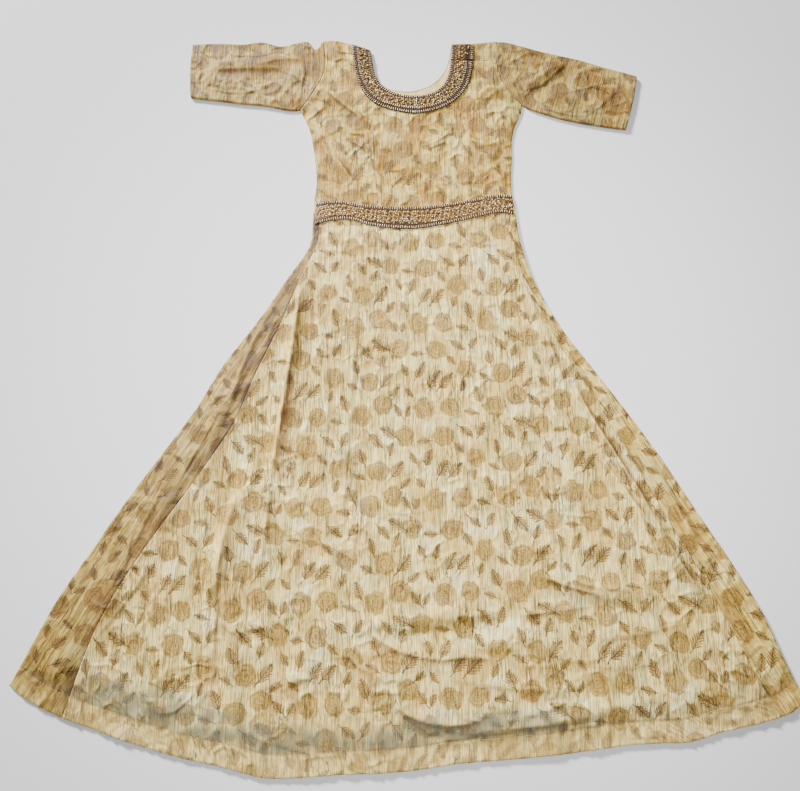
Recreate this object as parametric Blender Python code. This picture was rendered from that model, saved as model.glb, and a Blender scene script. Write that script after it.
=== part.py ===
"""Long flared gown laid flat on its back, front side up.

Millimetres in the tables, metres in the meshes. Ground plane z = 0,
x across the gown, y from the hem up to the neck, z up.
"""
import math

import bpy

for item in list(bpy.data.objects):
    bpy.data.objects.remove(item, do_unlink=True)

# Driving sizes, millimetres
mm = 0.001
ply = 1.2
hem_ply = 2.2
lining_ply = 1.0
gap = 0.3
rest_top = 2.7
neck_rest = 4.2
edge_ease = 13.0
skirt_top = 8.0
skirt_loft = 3.5
bodice_top = 6.0
hem_top = 4.9
hem_band = 34.0
hem_ease = 47.0
trim_ply = 1.6
trim_lift = 0.6
lining_rise = 68.0
lining_inset = 7.0
waist_lift = 0.5
fold_steps = 4


def table(names, *rows):
    """Rows as dictionaries with named columns."""
    keys = names.split()
    return [dict(zip(keys, row)) for row in rows]


def points(rows):
    """Plain x, y pairs of a table."""
    return [(row["x"], row["y"]) for row in rows]


# Outline and seam curves, left and right as seen from above
waist_seam = table(
    "x y", (-180, 310), (-148, 316), (-116, 315), (-69, 307), (-26, 302), (17, 301),
    (62, 307), (107, 315), (154, 324), (184, 328), (214, 327))
hem_edge = table(
    "x y", (-674, -557), (-638, -581), (-585, -606), (-522, -627), (-460, -648),
    (-378, -670), (-297, -687), (-240, -701), (-193, -702), (-117, -697), (-37, -694),
    (23, -689), (83, -680), (163, -674), (244, -667), (304, -660), (365, -652),
    (425, -648), (476, -646), (528, -631), (596, -617), (656, -597), (674, -579))
skirt_sides = table(
    "down left_x left_y right_x right_y strip_left strip_right",
    (0.00, -180, 310, 214, 327, 13, 13),
    (0.07, -185, 245, 222, 256, 14, 13),
    (0.15, -226, 177, 244, 177, 24, 14),
    (0.25, -279, 91, 289, 85, 43, 18),
    (0.35, -338, 8, 347, 1, 64, 30),
    (0.45, -387, -80, 406, -83, 78, 41),
    (0.55, -444, -164, 462, -168, 82, 50),
    (0.65, -501, -248, 514, -257, 82, 55),
    (0.75, -555, -334, 567, -345, 80, 60),
    (0.85, -608, -420, 616, -435, 88, 66),
    (0.93, -643, -493, 645, -511, 98, 62),
    (1.00, -674, -557, 674, -579, 108, 50))
bodice_left = table(
    "x y", (-180, 310), (-178, 344), (-175, 376), (-177, 410), (-181, 442),
    (-185, 465), (-190, 490), (-200, 515), (-212, 539))
bodice_right = table(
    "x y", (214, 327), (209, 357), (209, 396), (212, 431), (212, 452),
    (213, 471), (220, 502), (233, 531), (236, 551))
armhole_left = table(
    "x y", (-212, 539), (-200, 557), (-188, 577), (-173, 603), (-165, 628),
    (-164, 653), (-165, 677), (-170, 698))
armhole_right = table(
    "x y", (236, 551), (222, 564), (211, 578), (200, 602), (191, 628),
    (187, 652), (185, 675), (184, 697))
shoulder_left = table("x y", (-170, 698), (-150, 701), (-131, 698), (-100, 688), (-71, 677))
shoulder_right = table("x y", (93, 652), (115, 651), (138, 651), (162, 651), (187, 652))
shoulder_fold = table("x y", (96, 693), (117, 693), (141, 693), (162, 696), (184, 697))
neck_front = table(
    "x y", (-71, 677), (-68, 653), (-64, 627), (-53, 602), (-36, 585), (-14, 575),
    (12, 571), (40, 573), (63, 582), (80, 600), (89, 625), (93, 652))
neck_back = table(
    "x y", (-71, 677), (-68, 655), (-64, 630), (-54, 608), (-38, 592), (-15, 585),
    (8, 583), (31, 588), (53, 598), (73, 617), (86, 642), (92, 668), (96, 693))
trim_outer = table(
    "x y", (-109, 691), (-107, 656), (-101, 621), (-90, 588), (-72, 562), (-42, 543),
    (14, 530), (60, 537), (97, 556), (122, 584), (134, 615), (139, 651))
waist_trim_top = table(
    "x y", (-175, 334), (-148, 337), (-116, 335), (-87, 329), (-42, 325), (3, 324),
    (48, 326), (94, 333), (139, 342), (169, 349), (209, 351))
waist_trim_low = table(
    "x y", (-176, 289), (-132, 297), (-100, 296), (-71, 286), (-26, 279), (19, 278),
    (64, 285), (109, 295), (154, 307), (183, 312), (211, 309))

# Sleeves: along runs from the armhole to the cuff, top and low are the two folded edges
sleeve_left = table(
    "along top_x top_y low_x low_y",
    (0.00, -170, 698, -212, 539), (0.06, -184, 679, -228, 538), (0.12, -199, 696, -243, 540),
    (0.20, -220, 695, -262, 544), (0.32, -254, 686, -294, 550), (0.46, -293, 696, -330, 553),
    (0.60, -331, 691, -364, 558), (0.74, -367, 692, -388, 561), (0.88, -405, 692, -412, 564),
    (1.00, -437, 690, -434, 567))
sleeve_right = table(
    "along top_x top_y low_x low_y",
    (0.00, 184, 697, 236, 551), (0.08, 207, 696, 252, 541), (0.20, 241, 686, 278, 531),
    (0.33, 280, 674, 307, 521), (0.47, 322, 663, 337, 513), (0.61, 364, 652, 367, 507),
    (0.75, 407, 637, 394, 502), (0.88, 440, 627, 419, 498), (1.00, 472, 616, 442, 495))
cuff_bow = 3.0

# Soft folds of the upper cloth: a ridge has a positive height, a trough a negative one
creases = table(
    "x0 y0 x1 y1 bow width height",
    (-176, 245, -234, -225, 9, 15, 8.0),
    (-198, 245, -262, -225, 9, 13, -3.5),
    (-208, -235, -172, -285, 0, 14, 4.0),
    (-270, -175, -350, -430, 5, 16, 5.5),
    (-296, -185, -376, -420, 5, 15, -3.0),
    (-309, -385, -290, -640, -3, 17, 5.5),
    (-334, -400, -318, -640, -3, 15, -3.0),
    (-140, 150, -95, -120, 10, 17, 3.5),
    (-132, -140, -60, -395, -8, 17, 5.0),
    (-108, -160, -36, -380, -8, 15, -3.0),
    (-136, -250, -117, -480, 2, 15, 3.5),
    (-91, 258, -85, 165, 0, 12, 3.5),
    (60, 265, 92, 60, 5, 14, 3.0),
    (128, 20, 134, -150, -6, 16, 3.5),
    (303, 10, 497, -440, 7, 18, 6.0),
    (282, -5, 470, -430, 7, 16, -3.5),
    (396, -180, 520, -450, 6, 16, 3.5),
    (-190, -560, -120, -440, 0, 20, 3.0),
    (-60, -455, 175, -424, 3, 16, 5.0),
    (-50, -482, 180, -452, 3, 14, -3.0),
    (112, -492, 220, -478, 0, 14, 3.5),
    (225, -372, 415, -405, 13, 16, 5.0),
    (235, -400, 400, -428, 13, 14, -3.0),
    (-90, -540, 35, -525, 0, 14, 3.5),
    (-40, -604, 440, -570, 32, 15, 4.5),
    (180, -560, 280, -566, 0, 14, 3.5),
    (-480, -330, -560, -560, 4, 17, 3.5),
    (-420, -250, -470, -430, 6, 16, 3.0),
    (560, -460, 600, -600, -4, 16, 3.5),
    (-500, -560, -470, -650, 0, 17, 3.0),
    (230, -600, 250, -670, 0, 16, 2.5),
    (-69, 483, -53, 344, -5, 7, 2.6),
    (134, 501, 127, 354, 6, 7, 2.6),
    (-10, 478, 7, 385, -8, 11, 2.6),
    (-184, 588, -66, 482, -16, 11, 3.6),
    (-192, 560, -90, 452, -12, 11, -2.0),
    (-134, 430, -86, 366, 0, 11, 2.6),
    (150, 540, 172, 575, -14, 11, 2.6),
    (188, 470, 150, 400, 4, 11, 2.4),
    (-40, 522, 70, 520, -6, 10, 2.2),
    (-395, 650, -225, 655, 6, 15, 3.5),
    (-420, 612, -300, 590, -4, 13, 2.5),
    (-260, 600, -205, 640, 4, 13, 3.0),
    (236, 590, 312, 655, 5, 14, 4.5),
    (250, 570, 335, 625, 5, 12, -2.0),
    (330, 590, 440, 560, 4, 14, 3.0))


def smooth_curve(stations, spots, at):
    """Catmull-Rom value of a tabled curve at one station."""
    last = len(stations) - 2
    i = 0
    while i < last and at > stations[i + 1]:
        i += 1
    span = stations[i + 1] - stations[i]
    t = (at - stations[i]) / span
    found = []
    for axis in range(len(spots[0])):
        a = spots[i][axis]
        b = spots[i + 1][axis]
        slope_a = (b - a) / span
        slope_b = slope_a
        if i > 0:
            slope_a = (b - spots[i - 1][axis]) / (stations[i + 1] - stations[i - 1])
        if i < last:
            slope_b = (spots[i + 2][axis] - a) / (stations[i + 2] - stations[i])
        value = (2 * t ** 3 - 3 * t ** 2 + 1) * a + (3 * t ** 2 - 2 * t ** 3) * b
        value += (t ** 3 - 2 * t ** 2 + t) * slope_a * span + (t ** 3 - t ** 2) * slope_b * span
        found.append(value)
    return tuple(found)


def lengths(spots):
    """Fractions of the length at each point of a polyline."""
    total = [0.0]
    for a, b in zip(spots, spots[1:]):
        total.append(total[-1] + math.dist(a, b))
    return [value / total[-1] for value in total]


def along(spots, at):
    """Point at a fraction of a smooth curve's length."""
    return smooth_curve(lengths(spots), spots, at)


def column(rows, *names):
    """Chosen columns of a table as tuples."""
    return [tuple(row[name] for name in names) for row in rows]


def distance(x, y, spots):
    """Shortest distance to a polyline."""
    best = 1e9
    for (ax, ay), (bx, by) in zip(spots, spots[1:]):
        dx = bx - ax
        dy = by - ay
        t = ((x - ax) * dx + (y - ay) * dy) / (dx * dx + dy * dy)
        t = min(1.0, max(0.0, t))
        best = min(best, math.hypot(x - ax - dx * t, y - ay - dy * t))
    return best


def crease_line(row):
    """Seven points of a bowed crease."""
    dx = row["x1"] - row["x0"]
    dy = row["y1"] - row["y0"]
    size = math.hypot(dx, dy)
    line = []
    for k in range(7):
        t = k / 6
        bow = 4 * t * (1 - t) * row["bow"]
        line.append((row["x0"] + dx * t + bow * dy / size, row["y0"] + dy * t - bow * dx / size))
    return line


def crease_height(x, y, row, line):
    """Height of one soft fold, tapered to nothing at both ends."""
    best = 1e9
    place = 0.0
    for k in range(6):
        ax, ay = line[k]
        dx = line[k + 1][0] - ax
        dy = line[k + 1][1] - ay
        t = ((x - ax) * dx + (y - ay) * dy) / (dx * dx + dy * dy)
        t = min(1.0, max(0.0, t))
        away = math.hypot(x - ax - dx * t, y - ay - dy * t)
        if away < best:
            best = away
            place = (k + t) / 6
    if best > 3 * row["width"]:
        return 0.0
    taper = min(1.0, 0.25 + 4.0 * place * (1.0 - place))
    return row["height"] * taper * math.exp(-(best / row["width"]) ** 2)


crease_lines = [crease_line(row) for row in creases]
hem_line = points(hem_edge)
waist_line = points(waist_seam)
left_line = column(skirt_sides, "left_x", "left_y")
right_line = column(skirt_sides, "right_x", "right_y")
seam_edges = [
    points(bodice_left), points(bodice_right), points(shoulder_left)]
neck_edge = points(neck_front) + [(96, 693)]
sleeve_edges = [
    column(sleeve_left, "top_x", "top_y"), column(sleeve_left, "low_x", "low_y"),
    column(sleeve_right, "top_x", "top_y"), column(sleeve_right, "low_x", "low_y")]


def middle(near, far):
    """Line halfway between two edge lines with as many points."""
    return [((a[0] + b[0]) / 2, (a[1] + b[1]) / 2) for a, b in zip(near, far)]


neck_middle = middle(points(neck_front), points(trim_outer)) + [(118, 690)]
waist_middle = middle(points(waist_trim_top), points(waist_trim_low))


def waist_height(x):
    """Level of the waist seam under a given x."""
    inside = min(214.0, max(-180.0, x))
    for (ax, ay), (bx, by) in zip(waist_line, waist_line[1:]):
        if ax <= inside <= bx:
            return ay + (by - ay) * (inside - ax) / (bx - ax)
    return 320.0


def cloth_top(x, y):
    """Height of the upper cloth's outer face above the ground."""
    above = y - waist_height(x)
    if above < 0:
        edge = min(distance(x, y, left_line), distance(x, y, right_line))
        loft = 1.0 - math.exp(-(edge / 45.0) ** 2)
        start = 1.0 - math.exp(-(above / 60.0) ** 2)
        low = distance(x, y, hem_line)
        down = 1.0 / (1.0 + math.exp(-(low - hem_ease) / 5.0))
        height = hem_top + (skirt_top - hem_top + skirt_loft * loft * start) * down
        pinch = math.exp(-edge / edge_ease) * math.exp(-(above / 50.0) ** 2)
        height = rest_top + (height - rest_top) * (1.0 - pinch)
        calm = 1.0 - math.exp(-(edge / 16.0) ** 2)
    else:
        blend = math.exp(-(above / 35.0) ** 2)
        height = bodice_top + (skirt_top - bodice_top) * blend
        near = min(distance(x, y, line) for line in seam_edges)
        height = rest_top + (height - rest_top) * (1.0 - math.exp(-near / edge_ease))
        round_neck = distance(x, y, neck_edge)
        height -= (bodice_top - neck_rest) * math.exp(-round_neck / 18.0) * (1.0 - blend)
        height = max(height, rest_top)
        edge = min(distance(x, y, line) for line in sleeve_edges)
        calm = 1.0 - math.exp(-(min(edge, near) / 10.0) ** 2)
    total = 0.0
    for row, line in zip(creases, crease_lines):
        total += crease_height(x, y, row, line)
    if above < 0 and total < 0:
        total = total * down * start
    stiff = min(distance(x, y, neck_middle), distance(x, y, waist_middle) - 5.0)
    free = 1.0 - math.exp(-(max(0.0, stiff - 16.0) / 12.0) ** 2)
    found = height + total * calm * free
    if above < 0:
        found = max(found, min(height, skirt_top - 0.2))
    return found


def wall_below(x, y, thick):
    """Lower face under the outer face, so the wall keeps its thickness on a slope."""
    top = cloth_top(x, y)
    slope_x = (cloth_top(x + 1.5, y) - top) / 1.5
    slope_y = (cloth_top(x, y + 1.5) - top) / 1.5
    return top, top - thick * math.sqrt(1 + slope_x ** 2 + slope_y ** 2)


def paint(name, colour, roughness):
    """Cloth material."""
    skin = bpy.data.materials.new(name)
    skin.use_nodes = True
    shader = skin.node_tree.nodes["Principled BSDF"]
    shader.inputs["Base Color"].default_value = (*colour, 1.0)
    shader.inputs["Roughness"].default_value = roughness
    shader.inputs["Metallic"].default_value = 0.0
    return skin


sheer_cloth = (0.62, 0.49, 0.29)
lining_cloth = (0.74, 0.66, 0.48)
trim_cloth = (0.45, 0.31, 0.14)


def wall(name, outer, inner, cells, colour, smooth=True):
    """Closed cloth wall from matching outer and inner points and their four-sided cells."""
    order = {}
    spots = []
    for side, source in ((0, outer), (1, inner)):
        for key, spot in source.items():
            order[(side, key)] = len(spots)
            spots.append(tuple(value * mm for value in spot))
    faces = []
    edges = {}
    for cell in cells:
        a, b, c, d = cell
        for corner in ((a, b, c), (a, c, d)):
            faces.append([order[(0, key)] for key in corner])
            faces.append([order[(1, key)] for key in reversed(corner)])
        for a, b in zip(cell, cell[1:] + cell[:1]):
            if (b, a) in edges:
                del edges[(b, a)]
            else:
                edges[(a, b)] = True
    for a, b in edges:
        faces.append([order[(0, b)], order[(0, a)], order[(1, a)], order[(1, b)]])
    mesh = bpy.data.meshes.new(name)
    mesh.from_pydata(spots, [], faces)
    mesh.validate()
    mesh.update()
    body = bpy.data.objects.new(name, mesh)
    bpy.context.scene.collection.objects.link(body)
    mesh.materials.append(paint(name + "_cloth", colour, 0.8))
    for face in mesh.polygons:
        face.use_smooth = smooth
    return body


def grid_cells(across, down, wrap=False):
    """Four-sided cells of a grid, keys are (column, row)."""
    cells = []
    for i in range(across if wrap else across - 1):
        for j in range(down - 1):
            k = (i + 1) % across
            cells.append([(i, j), (i, j + 1), (k, j + 1), (k, j)])
    return cells


def coons(top, low, left, right, u, v):
    """Point of a patch between four edge points and their corners."""
    found = []
    for axis in (0, 1):
        value = (1 - v) * top[0][axis] + v * low[0][axis]
        value += (1 - u) * left[0][axis] + u * right[0][axis]
        value -= (1 - u) * (1 - v) * top[1][axis] + u * (1 - v) * top[2][axis]
        value -= (1 - u) * v * low[1][axis] + u * v * low[2][axis]
        found.append(value)
    return tuple(found)


# Skirt patch shared by the front panel, the back panel and the lining
down_stations = [row["down"] for row in skirt_sides]


def skirt_point(u, v):
    """Point of the laid skirt, u across from left to right, v from waist to hem."""
    top = (along(waist_line, u), waist_line[0], waist_line[-1])
    low = (along(hem_line, u), hem_line[0], hem_line[-1])
    left = (smooth_curve(down_stations, left_line, v),)
    right = (smooth_curve(down_stations, right_line, v),)
    return coons(top, low, left, right, u, v)


def row_line(v, steps=48):
    """Polyline of one skirt row with its running length."""
    line = [skirt_point(k / steps, v) for k in range(steps + 1)]
    run = [0.0]
    for a, b in zip(line, line[1:]):
        run.append(run[-1] + math.dist(a, b))
    return line, run


def on_row(row, length):
    """Point at a length from the left end of a skirt row."""
    line, run = row
    at = min(max(length, 0.0), run[-1])
    i = 0
    while i < len(run) - 2 and at > run[i + 1]:
        i += 1
    t = (at - run[i]) / (run[i + 1] - run[i])
    a = line[i]
    b = line[i + 1]
    return (a[0] + (b[0] - a[0]) * t, a[1] + (b[1] - a[1]) * t)


hem_share = hem_band / 960.0
rows_down = [0.0, 0.035, 0.075, 0.115, 0.155, 0.195, 0.235, 0.275, 0.315, 0.355, 0.395,
             0.43, 0.465, 0.50, 0.535, 0.57, 0.60, 0.63, 0.66, 0.69, 0.715, 0.74, 0.765,
             0.79, 0.815, 0.84, 0.865, 0.89, 0.925]
rows_down += [1.0 - hem_share - 0.006, 1.0 - hem_share + 0.002, 0.985, 1.0]
seam_lift = gap / 2
back_shares = [0.0, 0.1, 0.2, 0.3, 0.4, 0.5, 0.6, 0.7, 0.8, 0.9, 1.0]


def strip_widths(v):
    """Widths of the back panel's strips that show on the front."""
    return smooth_curve(down_stations, column(skirt_sides, "strip_left", "strip_right"), v)


def cloth_thick(v):
    """Single cloth above the hem band, double cloth in it."""
    if v < 1.0 - hem_share:
        return ply
    return hem_ply


def front_panel():
    """Front skirt panel between the two side seams."""
    columns = 39
    outer = {}
    inner = {}
    for j, v in enumerate(rows_down):
        row = row_line(v)
        left, right = strip_widths(v)
        start = left + seam_lift
        end = row[1][-1] - right - seam_lift
        for i in range(columns):
            x, y = on_row(row, start + (end - start) * i / (columns - 1))
            if j == 0:
                y -= seam_lift
            top, low = wall_below(x, y, cloth_thick(v))
            if v > 1.0 - hem_share:
                top += 0.5
                low += 0.5
            outer[(i, j)] = (x, y, top)
            inner[(i, j)] = (x, y, low)
    wall("skirt_front", outer, inner, grid_cells(columns, len(rows_down)), sheer_cloth)


def side_fold(edge, inward, tall, thick):
    """Outer and inner points round a folded edge, from the upper cloth down to the lower."""
    reach = 0.62 * tall
    found = []
    for k in range(1, fold_steps):
        angle = math.pi / 2 - math.pi * k / fold_steps
        far = reach - reach * math.cos(angle)
        near = reach - (reach - thick) * math.cos(angle)
        z_out = tall / 2 + tall / 2 * math.sin(angle)
        z_in = tall / 2 + (tall / 2 - thick) * math.sin(angle)
        found.append((
            (edge[0] + inward[0] * far, edge[1] + inward[1] * far, z_out),
            (edge[0] + inward[0] * near, edge[1] + inward[1] * near, z_in)))
    return reach, found


def unit(a, b):
    """Direction from one point to another."""
    size = math.dist(a, b)
    return ((b[0] - a[0]) / size, (b[1] - a[1]) / size)


def back_panel():
    """Back skirt panel: flat underneath, folded round both sides onto the front."""
    outer = {}
    inner = {}
    count = 0
    for j, v in enumerate(rows_down):
        row = row_line(v)
        full = row[1][-1]
        strips = strip_widths(v)
        thick = cloth_thick(v)
        ring = []
        for side in (0, 1):
            edge = on_row(row, full * side)
            step = 6.0 if side == 0 else full - 6.0
            inward = unit(edge, on_row(row, step))
            tall = cloth_top(*on_row(row, 5.0 if side == 0 else full - 5.0))
            if v > 1.0 - hem_share:
                tall += 0.5
            reach, fold = side_fold(edge, inward, tall, thick)
            upper = []
            for share in (0.0, 0.36, 0.7, 1.0):
                place = strips[side] - seam_lift
                place += (reach - place) * share
                x, y = on_row(row, place if side == 0 else full - place)
                if share == 1.0:
                    upper.append(((x, y, tall), (x, y, tall - thick)))
                    continue
                top, low = wall_below(x, y, thick)
                if v > 1.0 - hem_share:
                    top += 0.5
                    low += 0.5
                upper.append(((x, y, top), (x, y, low)))
            ring.append((upper + fold, reach))
        spots = list(ring[0][0])
        for share in back_shares:
            place = ring[0][1] + (full - ring[0][1] - ring[1][1]) * share
            x, y = on_row(row, place)
            spots.append(((x, y, 0.0), (x, y, thick)))
        spots += list(reversed(ring[1][0]))
        count = len(spots)
        for i, (out, within) in enumerate(spots):
            lift = seam_lift if j == 0 else 0.0
            outer[(i, j)] = (out[0], out[1] - lift, out[2])
            inner[(i, j)] = (within[0], within[1] - lift, within[2])
    cells = [list(reversed(cell)) for cell in grid_cells(count, len(rows_down))]
    wall("skirt_back", outer, inner, cells, sheer_cloth)


def lining_tube():
    """Lining of the skirt, a flattened tube that ends above the hem band."""
    shares = [0.012, 0.06, 0.12, 0.2, 0.3, 0.4, 0.5, 0.6, 0.7, 0.8, 0.88,
              1.0 - lining_rise / 960.0]
    floor = ply + gap
    ceiling = floor + 3.9
    half = (ceiling - floor) / 2
    outer = {}
    inner = {}
    count = 0
    for j, v in enumerate(shares):
        row = row_line(v)
        full = row[1][-1]
        ring = []
        side_inset = lining_inset + 16.0 * math.exp(-(v / 0.07) ** 2)
        wide = full - 2 * side_inset
        for share in (0.0, 0.17, 0.34, 0.5, 0.66, 0.83, 1.0):
            place = side_inset + 3.0 + (wide - 6.0) * share
            ring.append((place, half, 1.0))
        for angle in (45, 0, -45):
            radians = math.radians(angle)
            ring.append((full - side_inset - 3.0 + 3.0 * math.cos(radians), 0, radians))
        for share in (1.0, 0.83, 0.66, 0.5, 0.34, 0.17, 0.0):
            place = side_inset + 3.0 + (wide - 6.0) * share
            ring.append((place, -half, -1.0))
        for angle in (-135, 180, 135):
            radians = math.radians(angle)
            ring.append((side_inset + 3.0 + 3.0 * math.cos(radians), 0, radians))
        count = len(ring)
        for i, (place, level, turn) in enumerate(ring):
            x, y = on_row(row, place)
            if level:
                z_out = floor + half + level
                z_in = z_out - lining_ply * (1 if level > 0 else -1)
                outer[(i, j)] = (x, y, z_out)
                inner[(i, j)] = (x, y, z_in)
                continue
            z_out = floor + half + half * math.sin(turn)
            z_in = floor + half + (half - lining_ply) * math.sin(turn)
            shift = place - lining_ply * math.cos(turn)
            xi, yi = on_row(row, shift)
            outer[(i, j)] = (x, y, z_out)
            inner[(i, j)] = (xi, yi, z_in)
    cells = grid_cells(count, len(shares), wrap=True)
    wall("skirt_lining", outer, inner, cells, lining_cloth)


def shifted(spots, amount):
    """Polyline moved sideways, to its right by a positive amount."""
    found = []
    for k, (x, y) in enumerate(spots):
        a = spots[max(0, k - 1)]
        b = spots[min(len(spots) - 1, k + 1)]
        dx, dy = unit(a, b)
        found.append((x + dy * amount, y - dx * amount))
    return found


def bodice_patch(left, right, top, waist):
    """Grid of a bodice panel between its sides, its waist and its neck and shoulders."""
    columns = len(top)
    rows = len(left)
    level = lengths(left)
    grid = {}
    places = lengths(top)
    for i in range(columns):
        u = i / (columns - 1)
        u = 0.5 * u + 0.5 * places[i]
        base = along(waist, u)
        for j in range(rows):
            v = level[j]
            grid[(i, j)] = coons(
                (base, waist[0], waist[-1]), (top[i], top[0], top[-1]),
                (left[j],), (right[j],), u, v)
    return grid


def bodice_front():
    """Front bodice panel with a scooped neck."""
    left = points(bodice_left) + shifted(points(armhole_left), seam_lift)[1:]
    right = points(bodice_right) + shifted(points(armhole_right)[:6], -seam_lift)[1:]
    while len(right) < len(left):
        k = len(right) - 3
        middle = ((right[k][0] + right[k - 1][0]) / 2, (right[k][1] + right[k - 1][1]) / 2)
        right.insert(k, middle)
    top = points(shoulder_left) + points(neck_front)[1:] + points(shoulder_right)[1:]
    top[0] = left[-1]
    top = [(x, y - seam_lift) if x > 92 else (x, y) for x, y in top]
    right[-1] = top[-1]
    waist = [(x, y + waist_lift) for x, y in waist_line]
    left[0] = waist[0]
    right[0] = waist[-1]
    grid = bodice_patch(left, right, top, waist)
    outer = {}
    inner = {}
    for key, (x, y) in grid.items():
        high, low = wall_below(x, y, ply)
        outer[key] = (x, y, high)
        inner[key] = (x, y, low)
    cells = [list(reversed(c)) for c in grid_cells(len(top), len(left))]
    wall("bodice_front", outer, inner, cells, sheer_cloth)


def bodice_back():
    """Back bodice panel, flat underneath, folded over the right shoulder to its seam."""
    left = points(bodice_left) + shifted(points(armhole_left), seam_lift)[1:]
    right = points(bodice_right) + shifted(points(armhole_right), -seam_lift)[1:]
    fold = points(shoulder_fold)
    first = len(shoulder_left) + len(neck_back) - 2
    tall = [cloth_top(x, y - 5.0) for x, y in fold]
    reach = 0.62 * max(tall)
    top = points(shoulder_left) + points(neck_back)[1:-1]
    top += [(x, y - reach) for x, y in fold]
    top[0] = left[-1]
    right[-1] = (right[-1][0] - 0.5, right[-1][1] - reach)
    top[-1] = right[-1]
    row = row_line(0.0)
    waist = [on_row(row, 5.0 + (row[1][-1] - 10.0) * share) for share in back_shares]
    waist = [waist_line[0]] + waist + [waist_line[-1]]
    waist = [(x, y + waist_lift) for x, y in waist]
    left[0] = waist[0]
    right[0] = waist[-1]
    grid = bodice_patch(left, right, top, waist)
    for i in range(len(top)):
        x = grid[(i, 0)][0]
        k = 0
        while k < len(waist) - 2 and x > waist[k + 1][0]:
            k += 1
        t = (x - waist[k][0]) / (waist[k + 1][0] - waist[k][0])
        grid[(i, 0)] = (x, waist[k][1] + (waist[k + 1][1] - waist[k][1]) * t)
    for spot in waist[1:-1]:
        near = min(range(1, len(top) - 1), key=lambda i: abs(grid[(i, 0)][0] - spot[0]))
        grid[(near, 0)] = spot
    outer = {}
    inner = {}
    rows = len(left)
    for key, (x, y) in grid.items():
        outer[key] = (x, y, 0.0)
        inner[key] = (x, y, ply)
    cells = grid_cells(len(top), rows)
    seam = [(x, y + seam_lift) for x, y in points(shoulder_right)]
    seam[-1] = (seam[-1][0] - 0.6, seam[-1][1])
    for k, (x, y) in enumerate(fold):
        i = first + k
        edge = (top[i][0], y)
        start, turn = side_fold(edge, (0.0, -1.0), tall[k], ply)
        turn = list(reversed(turn))
        level = rows
        for out, within in turn:
            outer[(i, level)] = out
            inner[(i, level)] = within
            level += 1
        for share in (0.0, 0.5, 1.0):
            px = edge[0] + (seam[k][0] - edge[0]) * share
            py = y - start + (seam[k][1] - y + start) * share
            high, low = wall_below(px, py, ply)
            if share == 0.0:
                high = tall[k]
                low = tall[k] - ply
            outer[(i, level)] = (px, py, high)
            inner[(i, level)] = (px, py, low)
            level += 1
        if k == 0:
            continue
        for j in range(rows - 1, level - 1):
            cells.append([(i - 1, j), (i - 1, j + 1), (i, j + 1), (i, j)])
    wall("bodice_back", outer, inner, cells, sheer_cloth)


def between(a, b, share):
    """Point at a share of the way between two points."""
    return (a[0] + (b[0] - a[0]) * share, a[1] + (b[1] - a[1]) * share)


def sleeve(name, rows, armhole, facing):
    """Elbow sleeve laid flat, a tube with a fold along its top and its underside."""
    armline = list(reversed(shifted(armhole, -seam_lift * facing)))
    stations = [row["along"] for row in rows]
    tops = column(rows, "top_x", "top_y")
    lows = column(rows, "low_x", "low_y")
    places = lengths(armline)
    size = sum(math.dist(a, b) for a, b in zip(armline, armline[1:]))
    inset = 3.8 / size
    shares = [inset] + places[1:-1] + [1.0 - inset]
    steps = stations
    outer = {}
    inner = {}
    count = 0
    for j, s in enumerate(steps):
        top = smooth_curve(stations, tops, s)
        low = smooth_curve(stations, lows, s)
        if s == 0.0:
            top = armline[0]
            low = armline[-1]
        line = []
        for q in [0.0] + shares + [1.0]:
            if q in places:
                arm = armline[places.index(q)]
            elif q < 0.5:
                arm = between(armline[0], armline[1], q / places[1])
            else:
                arm = between(armline[-2], armline[-1], (q - places[-2]) / (1.0 - places[-2]))
            cuff = between(tops[-1], lows[-1], q)
            cuff = (cuff[0] - facing * cuff_bow * 4 * q * (1 - q), cuff[1])
            line.append(coons(
                (arm, armline[0], armline[-1]), (cuff, tops[-1], lows[-1]),
                (top,), (low,), q, s))
        upper = []
        for k, (x, y) in enumerate(line[1:-1]):
            high, deep = wall_below(x, y, ply)
            upper.append(((x, y, high), (x, y, deep)))
        turns = []
        for edge, inside, at in ((line[0], line[1], 0), (line[-1], line[-2], -1)):
            tall = upper[at][0][2]
            upper[at] = ((inside[0], inside[1], tall), (inside[0], inside[1], tall - ply))
            reach = math.dist(edge, inside)
            inward = unit(edge, inside)
            bend = []
            for n in range(1, fold_steps):
                angle = math.pi / 2 - math.pi * n / fold_steps
                far = reach - reach * math.cos(angle)
                near = reach - (reach - ply) * math.cos(angle)
                z_out = tall / 2 + tall / 2 * math.sin(angle)
                z_in = tall / 2 + (tall / 2 - ply) * math.sin(angle)
                bend.append((
                    (edge[0] + inward[0] * far, edge[1] + inward[1] * far, z_out),
                    (edge[0] + inward[0] * near, edge[1] + inward[1] * near, z_in)))
            turns.append(bend)
        lower = [((x, y, 0.0), (x, y, ply)) for x, y in reversed(line[1:-1])]
        ring = upper + turns[1] + lower + list(reversed(turns[0]))
        count = len(ring)
        for i, (out, within) in enumerate(ring):
            outer[(i, j)] = out
            inner[(i, j)] = within
    cells = grid_cells(count, len(steps), wrap=True)
    if facing < 0:
        cells = [list(reversed(cell)) for cell in cells]
    wall(name, outer, inner, cells, sheer_cloth)


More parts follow.
